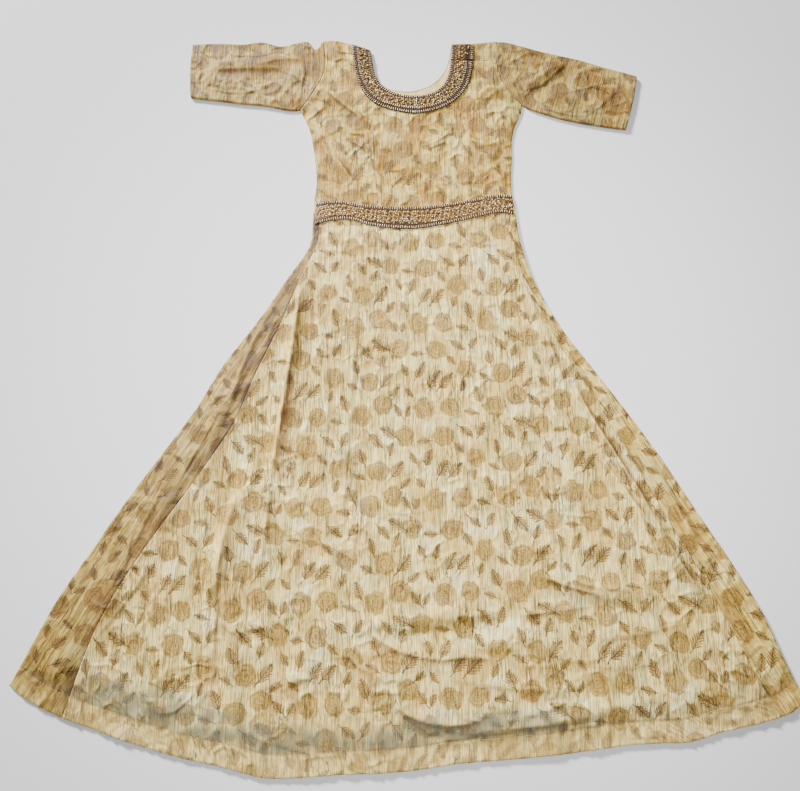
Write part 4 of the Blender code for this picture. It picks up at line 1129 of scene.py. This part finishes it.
def vectorNode(tree, kind, a, b=(0, 0, 0)):
    node = tree.nodes.new("ShaderNodeVectorMath")
    node.operation = kind
    for k, value in enumerate((a, b)):
        if hasattr(value, "is_output"):
            tree.links.new(value, node.inputs[k])
        else:
            node.inputs[k].default_value = value
    return node.outputs["Value"] if kind in ("DOT_PRODUCT", "LENGTH") else node.outputs["Vector"]


def scaleNode(tree, vector, factor):
    return vectorNode(tree, "MULTIPLY", vector, factor)


def timesNode(tree, a, b):
    return mathNode(tree, "MULTIPLY", a, b)


def swayNode(tree, noise, reach):  # noise turned into a push either way
    return scaleNode(tree, vectorNode(tree, "SUBTRACT", noise, (0.5, 0.5, 0.5)), reach)


def attributeNode(tree, key):
    node = tree.nodes.new("ShaderNodeAttribute")
    node.attribute_name = key
    return node.outputs["Fac"]


def grainNode(tree):  # place on the cloth along its threads, in millimetres
    node = tree.nodes.new("ShaderNodeUVMap")
    node.uv_map = "grain"
    return scaleNode(tree, node.outputs[0], (1000, 1000, 1000))


def bumpNode(tree, height, strength, distance, under=None):
    node = tree.nodes.new("ShaderNodeBump")
    node.inputs["Strength"].default_value = strength
    node.inputs["Distance"].default_value = distance
    tree.links.new(height, node.inputs["Height"])
    if under:
        tree.links.new(under, node.inputs["Normal"])
    return node.outputs[0]


def newSkin(name):
    skin = bpy.data.materials.new(name)
    skin.use_nodes = True
    return skin, skin.node_tree, skin.node_tree.nodes["Principled BSDF"]


def noiseNode(tree, vector, scale=1.0, detail=2.0, rough=0.5, colour=False):
    node = tree.nodes.new("ShaderNodeTexNoise")
    tree.links.new(vector, node.inputs["Vector"])
    node.inputs["Scale"].default_value = scale
    node.inputs["Detail"].default_value = detail
    node.inputs["Roughness"].default_value = rough
    return node.outputs["Color"] if colour else node.outputs[0]


def rangeNode(tree, value, low, high, toLow=0.0, toHigh=1.0, smooth=True):
    node = tree.nodes.new("ShaderNodeMapRange")
    node.interpolation_type = "SMOOTHSTEP" if smooth else "LINEAR"
    node.clamp = True
    tree.links.new(value, node.inputs["Value"])
    for key, number in (("From Min", low), ("From Max", high), ("To Min", toLow), ("To Max", toHigh)):
        node.inputs[key].default_value = number
    return node.outputs["Result"]


def mixNode(tree, factor, a, b, blend="MIX"):
    node = tree.nodes.new("ShaderNodeMix")
    node.data_type = "RGBA"
    node.blend_type = blend
    for socket, value in ((node.inputs[0], factor), (node.inputs[6], a), (node.inputs[7], b)):
        if hasattr(value, "is_output"):
            tree.links.new(value, socket)
        elif socket == node.inputs[0]:
            socket.default_value = value
        else:
            socket.default_value = (*value, 1.0)
    return node.outputs[2]


def splitNode(tree, vector):
    node = tree.nodes.new("ShaderNodeSeparateXYZ")
    tree.links.new(vector, node.inputs[0])
    return node.outputs


def srgb(r, g, b):  # screen colour 0-255 to linear
    return tuple(((v / 255 + 0.055) / 1.055) ** 2.4 if v > 10 else v / 3294 for v in (r, g, b))


def newGroup(name, ins, outs):
    tree = bpy.data.node_groups.new(name, "ShaderNodeTree")
    for key in ins:
        tree.interface.new_socket(key, in_out="INPUT", socket_type="NodeSocketFloat")
    for key in outs:
        tree.interface.new_socket(key, in_out="OUTPUT", socket_type="NodeSocketFloat")
    start = tree.nodes.new("NodeGroupInput")
    end = tree.nodes.new("NodeGroupOutput")
    return tree, start.outputs, end.inputs


def useGroup(tree, group, *values):
    node = tree.nodes.new("ShaderNodeGroup")
    node.node_tree = group
    for k, value in enumerate(values):
        if hasattr(value, "is_output"):
            tree.links.new(value, node.inputs[k])
        else:
            node.inputs[k].default_value = value
    return node.outputs


# A small printed leaf, its tip at x = 1 and its stem from x = -1; one unit is half its length
def makeLeafGroup():
    tree, start, end = newGroup("leafShape", ("x", "y"), ("fill", "line"))
    x = start[0]
    side = mathNode(tree, "ABSOLUTE", start[1])
    inner = mathNode(tree, "SUBTRACT", 1.0, timesNode(tree, x, x), clamp=True)
    wide = mathNode(tree, "POWER", inner, 0.75)
    lean = mathNode(tree, "MULTIPLY_ADD", x, -0.12, 0.50)
    wide = timesNode(tree, wide, lean)
    slant = mathNode(tree, "MULTIPLY_ADD", side, 1.1, timesNode(tree, x, -1.0))
    teeth = mathNode(tree, "PINGPONG", timesNode(tree, slant, 3.1), 0.5)
    wide = mathNode(tree, "MULTIPLY_ADD", mathNode(tree, "SUBTRACT", 0.25, teeth), 0.34, wide)
    away = mathNode(tree, "SUBTRACT", wide, side)
    fill = rangeNode(tree, away, -0.02, 0.07)
    fill = timesNode(tree, fill, rangeNode(tree, inner, 0.0, 0.12))
    veins = rangeNode(tree, teeth, 0.07, 0.24, 1.0, 0.0)
    reach = mathNode(tree, "SUBTRACT", timesNode(tree, wide, 1.15), side)
    veins = timesNode(tree, veins, rangeNode(tree, reach, 0.0, 0.05))
    veins = timesNode(tree, veins, rangeNode(tree, inner, 0.0, 0.1))
    rib = rangeNode(tree, side, 0.03, 0.09, 1.0, 0.0)
    length = mathNode(tree, "ABSOLUTE", mathNode(tree, "ADD", x, 0.28))
    rib = timesNode(tree, rib, rangeNode(tree, length, 1.18, 1.27, 1.0, 0.0))
    line = mathNode(tree, "MAXIMUM", timesNode(tree, veins, 0.9), rib)
    tree.links.new(fill, end[0])
    tree.links.new(line, end[1])
    return tree


# A round printed rose, one unit is its radius
def makeRoseGroup():
    tree, start, end = newGroup("roseShape", ("x", "y", "wobble"), ("fill", "line"))
    x, y, wobble = start[0], start[1], start[2]
    square = mathNode(tree, "MULTIPLY_ADD", x, x, timesNode(tree, y, y))
    far = mathNode(tree, "SQRT", square)
    turn = mathNode(tree, "ARCTAN2", y, x)
    scallop = mathNode(tree, "SINE", mathNode(tree, "MULTIPLY_ADD", turn, 5.0, wobble))
    small = mathNode(tree, "SINE", mathNode(tree, "MULTIPLY_ADD", turn, 8.0, wobble))
    edge = mathNode(tree, "MULTIPLY_ADD", scallop, 0.055, mathNode(tree, "MULTIPLY_ADD", small, 0.03, 0.95))
    away = mathNode(tree, "SUBTRACT", edge, far)
    fill = rangeNode(tree, away, -0.05, 0.08)
    petals = mathNode(tree, "SINE", mathNode(tree, "MULTIPLY_ADD", turn, 3.0, timesNode(tree, far, 6.0)))
    ring = mathNode(tree, "MULTIPLY_ADD", far, 3.1, timesNode(tree, wobble, 0.3))
    ring = mathNode(tree, "PINGPONG", mathNode(tree, "MULTIPLY_ADD", petals, 0.16, ring), 0.5)
    line = rangeNode(tree, ring, 0.05, 0.16, 1.0, 0.0)
    line = timesNode(tree, line, rangeNode(tree, away, 0.0, 0.08))
    rim = rangeNode(tree, mathNode(tree, "ABSOLUTE", away), 0.02, 0.08, 0.35, 0.0)
    tree.links.new(fill, end[0])
    tree.links.new(mathNode(tree, "MAXIMUM", line, rim), end[1])
    return tree


printRepeat = {
    "origin": (14.6, -291.4), "across": (247.1, 17.1), "down": (13.8, -164.2),
    "roseSize": 19.5,
    # share across, share down
    "roses": [(0.99, 0.0), (0.27, 0.055), (0.493, 0.30), (0.76, 0.365), (0.163, 0.727), (0.349, 0.722),
              (0.687, 0.738), (0.86, 0.642)],
    # share across, share down, direction of the tip in degrees, length
    "leaves": [(0.122, 0.075, 175, 24), (0.035, 0.252, -65, 26), (0.148, 0.266, 71, 32),
               (0.245, 0.40, 56, 36), (0.335, 0.42, 48, 37), (0.375, 0.191, -50, 26),
               (0.435, 0.0, -40, 30), (0.553, 0.98, 62, 30), (0.664, 0.173, 105, 30),
               (0.77, 0.027, -50, 32), (0.622, 0.405, 152, 24), (0.868, 0.12, 72, 28),
               (0.865, 0.943, 150, 36), (0.90, 0.353, 54, 38), (0.46, 0.49, 70, 24),
               (0.56, 0.596, 112, 34), (0.49, 0.787, 165, 25), (0.07, 0.527, -50, 24),
               (0.958, 0.506, 45, 26), (0.961, 0.719, 125, 28), (0.041, 0.742, 65, 24)],
}


# The whole repeat, given a place on the cloth in millimetres
def makePrintGroup():
    r = printRepeat
    leaf = makeLeafGroup()
    rose = makeRoseGroup()
    tree = bpy.data.node_groups.new("floralRepeat", "ShaderNodeTree")
    tree.interface.new_socket("place", in_out="INPUT", socket_type="NodeSocketVector")
    for key in ("roses", "leaves", "lines"):
        tree.interface.new_socket(key, in_out="OUTPUT", socket_type="NodeSocketFloat")
    start = tree.nodes.new("NodeGroupInput").outputs
    end = tree.nodes.new("NodeGroupOutput").inputs
    slow = swayNode(tree, noiseNode(tree, start[0], 1 / 140, 1.0, colour=True), (26, 26, 0))
    hand = swayNode(tree, noiseNode(tree, start[0], 1 / 9, 1.0, colour=True), (6.5, 6.5, 0))
    place = vectorNode(tree, "ADD", vectorNode(tree, "ADD", start[0], slow), hand)
    place = vectorNode(tree, "SUBTRACT", place, (*r["origin"], 0))
    ax, ay = r["across"]
    bx, by = r["down"]
    det = ax * by - ay * bx
    a = vectorNode(tree, "DOT_PRODUCT", place, (by / det, -bx / det, 0))
    b = vectorNode(tree, "DOT_PRODUCT", place, (-ay / det, ax / det, 0))
    cell = tree.nodes.new("ShaderNodeCombineXYZ")
    tree.links.new(a, cell.inputs[0])
    tree.links.new(b, cell.inputs[1])
    cell = cell.outputs[0]
    sums = {"roses": None, "leaves": None, "lines": None}

    def gather(key, value):
        if sums[key] is None:
            sums[key] = value
        else:
            sums[key] = mathNode(tree, "MAXIMUM", sums[key], value)

    def local(u, v, angle, unit):
        near = vectorNode(tree, "ADD", cell, (0.5 - u, 0.5 - v, 0))
        near = vectorNode(tree, "FRACTION", near)
        near = vectorNode(tree, "SUBTRACT", near, (0.5, 0.5, 0))
        c = math.cos(math.radians(angle)) / unit
        s = math.sin(math.radians(angle)) / unit
        x = vectorNode(tree, "DOT_PRODUCT", near, (ax * c + ay * s, bx * c + by * s, 0))
        y = vectorNode(tree, "DOT_PRODUCT", near, (-ax * s + ay * c, -bx * s + by * c, 0))
        return x, y

    for k, (u, v) in enumerate(r["roses"]):
        x, y = local(u, v, 40 * k, r["roseSize"] * (1 + 0.05 * math.sin(k * 2.3)))
        found = useGroup(tree, rose, x, y, 1.7 * k)
        gather("roses", found[0])
        gather("lines", timesNode(tree, found[1], 0.55))
    for u, v, angle, length in r["leaves"]:
        x, y = local(u, v, angle, length / 2)
        found = useGroup(tree, leaf, x, y)
        gather("leaves", found[0])
        gather("lines", found[1])
    for k, key in enumerate(("roses", "leaves", "lines")):
        tree.links.new(sums[key], end[k])
    return tree


printGroup = makePrintGroup()

sheerFinish = {
    "ground": srgb(254, 226, 140), "cool": srgb(240, 228, 152), "warm": srgb(246, 200, 92),
    "pale": srgb(255, 240, 180), "rose": srgb(172, 134, 48), "leaf": srgb(160, 121, 44),
    "line": srgb(84, 60, 18), "shadow": srgb(150, 142, 126), "deep": srgb(212, 188, 118),
    "sheer": srgb(108, 110, 92), "flank": srgb(146, 118, 60), "sideShade": srgb(196, 190, 176),
    "rosy": srgb(226, 180, 118), "green": srgb(206, 208, 140), "band": srgb(244, 214, 134),
    "streak": 1.9, "streakRun": 80.0, "roughness": 0.6, "sheen": 0.12, "bump": 0.8,
    "threadDepth": 0.0022, "rumpleDepth": 0.006,
}


def sheerMaterial(name, turn=0.0, shift=(0, 0), tone=1.0, liftAndShade=0.5, pale=0.75, pleats=0.9, rumple=0.4, ink=1.0):
    f = sheerFinish
    skin, tree, shader = newSkin(name)
    place = grainNode(tree)
    moved = tree.nodes.new("ShaderNodeMapping")
    tree.links.new(place, moved.inputs[0])
    moved.inputs["Location"].default_value = (*shift, 0)
    moved.inputs["Rotation"].default_value = (0, 0, math.radians(turn))
    motifs = useGroup(tree, printGroup, moved.outputs[0])
    # crinkle streaks run along the grain
    bent = vectorNode(tree, "ADD", place, swayNode(tree, noiseNode(tree, place, 1 / 60, 1.0), (9, 0, 0)))
    wide = noiseNode(tree, scaleNode(tree, bent, (1 / f["streak"], 1 / f["streakRun"], 1)), 1.0, 2.0, 0.65)
    lineA = noiseNode(tree, scaleNode(tree, bent, (1 / 8.0, 1 / 85, 1)), 1.0, 1.0, 0.5)
    lineB = noiseNode(tree, scaleNode(tree, bent, (1 / 6.2, 1 / 60, 1.7)), 1.0, 1.0, 0.5)
    crinkle = None
    for noise, middle in ((lineA, 0.46), (lineA, 0.56), (lineB, 0.50)):
        away = mathNode(tree, "ABSOLUTE", mathNode(tree, "SUBTRACT", noise, middle))
        line = rangeNode(tree, away, 0.004, 0.026, 1.0, 0.0)
        crinkle = line if crinkle is None else mathNode(tree, "MAXIMUM", crinkle, line)
    narrow = noiseNode(tree, scaleNode(tree, bent, (1 / 1.5, 1 / 45, 1)), 1.0, 1.0, 0.5)
    tint = noiseNode(tree, scaleNode(tree, bent, (1 / 5.0, 1 / 60, 1)), 1.0, 2.0, 0.7)
    cloud = noiseNode(tree, place, 1 / 62, 3.0, 0.6)
    speck = noiseNode(tree, place, 1 / 2.6, 1.0, 0.6)
    base = mixNode(tree, rangeNode(tree, tint, 0.40, 0.60), f["cool"], f["ground"])
    base = mixNode(tree, timesNode(tree, rangeNode(tree, tint, 0.50, 0.38), 0.55), base, f["warm"])
    veil = noiseNode(tree, scaleNode(tree, bent, (1 / 19, 1 / 230, 1)), 1.0, 2.0, 0.6)
    base = mixNode(tree, timesNode(tree, rangeNode(tree, veil, 0.52, 0.64), 0.42), base, f["rosy"])
    base = mixNode(tree, timesNode(tree, rangeNode(tree, veil, 0.46, 0.36), 0.5), base, f["green"])
    # soft patches where the cloth stands off its lining and turns golden, partly painted shade, and pale patches of
    # painted sheen
    patch = timesNode(tree, rangeNode(tree, cloud, 0.47, 0.58), liftAndShade)
    base = mixNode(tree, patch, base, f["deep"], "MULTIPLY")
    # pale patches are painted sheen of the lining
    sheenPatch = timesNode(tree, rangeNode(tree, cloud, 0.44, 0.36), pale)
    base = mixNode(tree, sheenPatch, base, f["pale"])
    # the print breaks up where the crinkles turn it away
    hold = rangeNode(tree, wide, 0.34, 0.56, 0.80, 1.0)
    fade = rangeNode(tree, noiseNode(tree, place, 1 / 21, 2.0, 0.6), 0.30, 0.55, 0.78, 1.0)
    hold = timesNode(tree, hold, fade)
    mottle = timesNode(tree, hold, rangeNode(tree, speck, 0.36, 0.56, 0.68, 1.0))
    roses = timesNode(tree, timesNode(tree, motifs[0], mottle), 0.95)
    leaves = timesNode(tree, timesNode(tree, motifs[1], hold), 0.84 * ink)
    lines = timesNode(tree, timesNode(tree, motifs[2], hold), 0.95 * ink)
    colour = mixNode(tree, roses, base, f["rose"])
    colour = mixNode(tree, leaves, colour, f["leaf"])
    colour = mixNode(tree, lines, colour, f["line"])
    dark = timesNode(tree, rangeNode(tree, wide, 0.50, 0.34), 0.80)
    colour = mixNode(tree, dark, colour, f["shadow"], "MULTIPLY")
    fineDark = timesNode(tree, rangeNode(tree, narrow, 0.50, 0.34), 0.62)
    colour = mixNode(tree, fineDark, colour, f["shadow"], "MULTIPLY")
    groups = noiseNode(tree, scaleNode(tree, place, (1 / 34, 1 / 70, 1)), 1.0, 2.0, 0.6)
    groups = rangeNode(tree, groups, 0.36, 0.62, 0.15, pleats)
    colour = mixNode(tree, timesNode(tree, crinkle, groups), colour, f["shadow"], "MULTIPLY")
    # painted shade on the creases' flanks, beside the seams and along the hem band, and painted highlight on the
    # crests
    colour = mixNode(tree, attributeNode(tree, "shade"), colour, f["flank"], "MULTIPLY")
    colour = mixNode(tree, timesNode(tree, attributeNode(tree, "gleam"), 0.5), colour, f["ground"])
    # painted shade that darkens the left side strip
    colour = mixNode(tree, attributeNode(tree, "sideShade"), colour, f["sideShade"], "MULTIPLY")
    # painted shade where the dim inside shows through the strip above the hem
    colour = mixNode(tree, timesNode(tree, attributeNode(tree, "sheer"), 0.72), colour, f["sheer"])
    colour = mixNode(tree, timesNode(tree, attributeNode(tree, "band"), 0.16), colour, f["band"])
    # painted shade: whole pieces darker and browner the further they lie from the light at the centre
    if tone != 1.0:
        pieceShade = (tone, tone * (0.77 + 0.17 * tone), tone * (0.22 + 0.48 * tone))
        colour = mixNode(tree, 1.0, colour, pieceShade, "MULTIPLY")
    tree.links.new(colour, shader.inputs["Base Color"])
    rough = rangeNode(tree, narrow, 0.3, 0.7, f["roughness"] - 0.12, f["roughness"] + 0.12)
    tree.links.new(rough, shader.inputs["Roughness"])
    height = mathNode(tree, "MULTIPLY_ADD", narrow, 0.35, wide)
    threads = bumpNode(tree, height, f["bump"], f["threadDepth"])
    # small sharp rumples, past what the mesh carries
    twisted = vectorNode(tree, "ADD", place, swayNode(tree, noiseNode(tree, place, 1 / 45, 1.0), (26, 18, 0)))
    away = mathNode(tree, "ABSOLUTE", mathNode(tree, "SUBTRACT", noiseNode(tree, twisted, 1 / 42, 1.0, 0.5), 0.5))
    crest = rangeNode(tree, away, -0.01, 0.13, 1.0, 0.0)
    spread = rangeNode(tree, noiseNode(tree, place, 1 / 85, 1.0), 0.40, 0.62, 0.15, 1.0)
    rumples = bumpNode(tree, timesNode(tree, crest, spread), rumple, f["rumpleDepth"], threads)
    tree.links.new(rumples, shader.inputs["Normal"])
    shader.inputs["Sheen Weight"].default_value = f["sheen"]
    shader.inputs["Sheen Roughness"].default_value = 0.4
    shader.inputs["Specular IOR Level"].default_value = 0.35
    return skin


def plainMaterial(name, colour, dark, roughness=0.8, metallic=0.0, scale=1 / 3, bumpBy=0.0002):
    skin, tree, shader = newSkin(name)
    coords = tree.nodes.new("ShaderNodeTexCoord")
    place = scaleNode(tree, coords.outputs["Object"], (1000, 1000, 1000))
    speck = noiseNode(tree, place, scale, 3.0, 0.6)
    tree.links.new(mixNode(tree, rangeNode(tree, speck, 0.35, 0.65), dark, colour), shader.inputs["Base Color"])
    shader.inputs["Roughness"].default_value = roughness
    shader.inputs["Metallic"].default_value = metallic
    tree.links.new(bumpNode(tree, speck, 0.5, bumpBy), shader.inputs["Normal"])
    return skin


braidFinish = {
    "gold": srgb(190, 146, 76), "pale": srgb(255, 232, 160), "brown": srgb(88, 62, 36),
    "dark": srgb(36, 24, 14), "edge": srgb(58, 38, 22), "zigzag": 9.0,
}


def braidMaterial(name, width, tone=1.0):
    # gold zig-zag braid on a brown ground; u runs along the band, v across it, in metres
    f = braidFinish
    skin, tree, shader = newSkin(name)
    place = grainNode(tree)
    jitter = swayNode(tree, noiseNode(tree, place, 1 / 6, 1.0, colour=True), (2.2, 2.2, 0))
    u, v, _ = splitNode(tree, vectorNode(tree, "ADD", place, jitter))
    zig = mathNode(tree, "PINGPONG", timesNode(tree, u, 1 / f["zigzag"] * 2), 1.0)
    zigzags = None
    for row, amount in ((0.30, 6.0), (0.5, -6.5), (0.70, 6.0)):
        middle = mathNode(tree, "MULTIPLY_ADD", zig, amount, width * row - amount / 2)
        away = mathNode(tree, "ABSOLUTE", mathNode(tree, "SUBTRACT", v, middle))
        line = rangeNode(tree, away, 0.7, 1.9, 1.0, 0.0)
        zigzags = line if zigzags is None else mathNode(tree, "MAXIMUM", zigzags, line)
    thread = noiseNode(tree, scaleNode(tree, place, (1 / 0.9, 1 / 2.4, 1)), 1.0, 2.0, 0.6)
    ground = mixNode(tree, rangeNode(tree, thread, 0.38, 0.6), f["dark"], f["brown"])
    gold = mixNode(tree, rangeNode(tree, thread, 0.35, 0.65), f["gold"], f["pale"])
    patch = rangeNode(tree, noiseNode(tree, place, 1 / 7, 2.0, 0.6), 0.42, 0.60, 0.0, 0.38)
    colour = mixNode(tree, patch, ground, f["gold"])
    knots = rangeNode(tree, noiseNode(tree, place, 1 / 2.4, 1.0, 0.5), 0.40, 0.56, 0.25, 0.95)
    colour = mixNode(tree, timesNode(tree, zigzags, knots), colour, gold)
    border = mathNode(tree, "ABSOLUTE", mathNode(tree, "SUBTRACT", v, width / 2))
    border = rangeNode(tree, border, width * 0.30, width * 0.34)
    colour = mixNode(tree, timesNode(tree, border, 0.85), colour, f["edge"])
    if tone != 1.0:
        colour = mixNode(tree, 1.0, colour, (tone, tone * 0.83, tone * 0.45), "MULTIPLY")
    tree.links.new(colour, shader.inputs["Base Color"])
    height = mathNode(tree, "MULTIPLY_ADD", zigzags, 1.0, timesNode(tree, thread, 0.5))
    tree.links.new(bumpNode(tree, height, 0.6, 0.0009), shader.inputs["Normal"])
    shader.inputs["Roughness"].default_value = 0.45
    shader.inputs["Metallic"].default_value = 0.25
    return skin


def setMaterial(piece, *skins):
    piece.data.materials.clear()
    for skin in skins:
        piece.data.materials.append(skin)


def dress(piece, node, skins):
    if skins:
        setMaterial(piece, *skins)
    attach(piece, "root")
    if node:
        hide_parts(node)


# Camera at the photo's angle, looking down at the laid gown
cameraData = bpy.data.cameras.new("camera")
camera = bpy.data.objects.new("camera", cameraData)
bpy.context.scene.collection.objects.link(camera)
camera.location = (-0.0105, -0.3713, 1.388)
camera.rotation_euler = (math.radians(13), 0, 0)
cameraData.lens = 34.65
cameraData.sensor_width = 36
cameraData.clip_start = 0.05
bpy.context.scene.camera = camera

studio = {
    "floor": srgb(226, 226, 228), "world": 0.26, "key": 2150.0, "fill": 4.0, "centre": 300.0,
}
bpy.ops.object.select_all(action="DESELECT")
bpy.ops.mesh.primitive_plane_add(size=8, location=(0, 0, -0.0006))
floor = bpy.context.active_object
floor.name = "floor"
bpy.ops.object.transform_apply(location=True, rotation=True, scale=True)
floorSkin = plainMaterial("floorPaper", studio["floor"], studio["floor"], 0.9, 0.0, 1 / 50, 0.00001)
setMaterial(floor, floorSkin)
world = bpy.data.worlds.new("studioWorld")
bpy.context.scene.world = world
world.use_nodes = True
world.node_tree.nodes["Background"].inputs[0].default_value = (1, 1, 1, 1)
world.node_tree.nodes["Background"].inputs[1].default_value = studio["world"]
for name, kind, spot, power, size in (
        ("keyLight", "AREA", (-4.6, 5.7, 3.1), studio["key"], 1.2),
        ("fillLight", "AREA", (2.6, -1.0, 1.6), studio["fill"], 1.5),
        ("centreLight", "SPOT", (0.04, -0.06, 2.5), studio["centre"], 0.25)):
    data = bpy.data.lights.new(name, kind)
    data.energy = power
    lamp = bpy.data.objects.new(name, data)
    bpy.context.scene.collection.objects.link(lamp)
    lamp.location = spot
    away = mathutils.Vector((0, 0, 0)) - mathutils.Vector(spot)
    if kind == "AREA":
        data.size = size
        lamp.rotation_euler = away.to_track_quat("-Z", "Y").to_euler()
    else:  # straight down, fading softly towards the hem and the sleeves
        data.shadow_soft_size = size
        data.spot_size = math.radians(48)
        data.spot_blend = 1.0
print("camera, floor and lights set")

# turn, shift, tone (painted shade of the whole piece), golden patches (partly painted shade), pale patches (painted
# sheen), pleats, rumple, ink
frontSkin = sheerMaterial("printedCloth")
stripSkin = sheerMaterial("printedBack", 4, (37, 61), 0.93, 0.6, 0.75, 0.9, 0.35)
bodiceSkin = sheerMaterial("printedBodice", 6, (61, 83), 0.82, 0.9, 0.9, 0.75, 0.6, 0.85)
flapSkin = sheerMaterial("printedFlap", 80, (30, 20), 0.70, 0.9, 0.3, 0.5, 0.6, 0.6)
sleeveLeftSkin = sheerMaterial("printedSleeveLeft", 96, (20, 45), 0.63, 0.9, 0.5, 0.7, 0.35, 0.7)
sleeveRightSkin = sheerMaterial("printedSleeveRight", 84, (70, 15), 0.52, 0.9, 0.6, 0.7, 0.4, 0.75)
liningSkin = plainMaterial("liningSatin", srgb(232, 202, 138), srgb(214, 180, 112), 0.6, 0.0, 1 / 9)
neckSkin = braidMaterial("neckBraid", 36, 0.45)
waistSkin = braidMaterial("waistBraid", 43, 0.70)

skirtFront = makeSkirtFront()
print("skirt front made")
skirtBack = makeSkirtBack()
lining = makeLining()
bodice = makeBodiceFront()
outer, within, rim, flap = makeBodiceBack()
for piece, skin in ((outer, bodiceSkin), (within, liningSkin), (rim, bodiceSkin), (flap, flapSkin)):
    setMaterial(piece, skin)
back = joinPieces("bodiceBackCloth", [outer, within, rim, flap])
mergeDoubles(back)
sleeveL = makeSleeve("sleeveLeftCloth", sleeveLeft, armholeLeft, 1)
sleeveR = makeSleeve("sleeveRightCloth", sleeveRight, armholeRight, -1)
neckBand = makeBand("neckBand", neckFront, trimOuter, 240, 26)
neckBackBand = makeBand("neckBackBand", *neckBackSides, 22, 26)
waistBand = makeBand("waistBand", waistTrimTop, waistTrimLow, 200, 30)
print("bodice, sleeves and bands made")

# shares across each band: silver loops, cords, gold beads
neckBits = beadBand("neck", neckFront, trimOuter, [0.075, 0.70, 0.925], [0.16, 0.82],
                    [0.25, 0.34, 0.43, 0.52, 0.60])
waistBits = beadBand("waist", waistTrimTop, waistTrimLow, [0.07, 0.93], [0.15, 0.85],
                     [0.24, 0.35, 0.46, 0.56, 0.66, 0.76])
backBits = beadBand("neckBack", *neckBackSides, [0.06, 0.94], [0.14, 0.86], [0.24, 0.36, 0.5, 0.64, 0.76])
spots, turns = hemStitchPlaces()
hemStitches = scatterPieces("hemStitches", smallBead(stitchValues["length"], stitchValues["radius"], 5), spots, turns)
print("beads, cords and stitches made")

silverSkin = plainMaterial("silverBead", srgb(246, 228, 190), srgb(168, 140, 102), 0.3, 0.2, 1 / 4)
goldSkin = plainMaterial("goldBead", srgb(255, 238, 188), srgb(150, 100, 44), 0.22, 0.2, 1 / 4)
cordSkin = plainMaterial("brownCord", srgb(112, 68, 36), srgb(74, 42, 20), 0.7, 0.0, 1 / 2)
threadSkin = plainMaterial("stitchThread", srgb(226, 196, 130), srgb(196, 160, 96), 0.6, 0.0, 1 / 2)
for bits in (neckBits, waistBits, backBits):
    for piece, skin in zip(bits, (silverSkin, cordSkin, goldSkin)):
        dress(piece, None, [skin])
dress(hemStitches, None, [threadSkin])

# each cloth with its finish and the solid it stands for, which is hidden; the cloths are in metres
dress(skirtBack, "skirt_back", [stripSkin])
dress(lining, "skirt_lining", [liningSkin])
dress(skirtFront, "skirt_front", [frontSkin])
dress(back, "bodice_back", None)
dress(bodice, "bodice_front", [bodiceSkin])
dress(sleeveL, "sleeve_left", [sleeveLeftSkin])
dress(sleeveR, "sleeve_right", [sleeveRightSkin])
dress(neckBand, "neck_trim", [neckSkin])
dress(neckBackBand, "neck_trim_back", [neckSkin])
dress(waistBand, "waist_trim", [waistSkin])
print("cloths, bands and beads dressed")
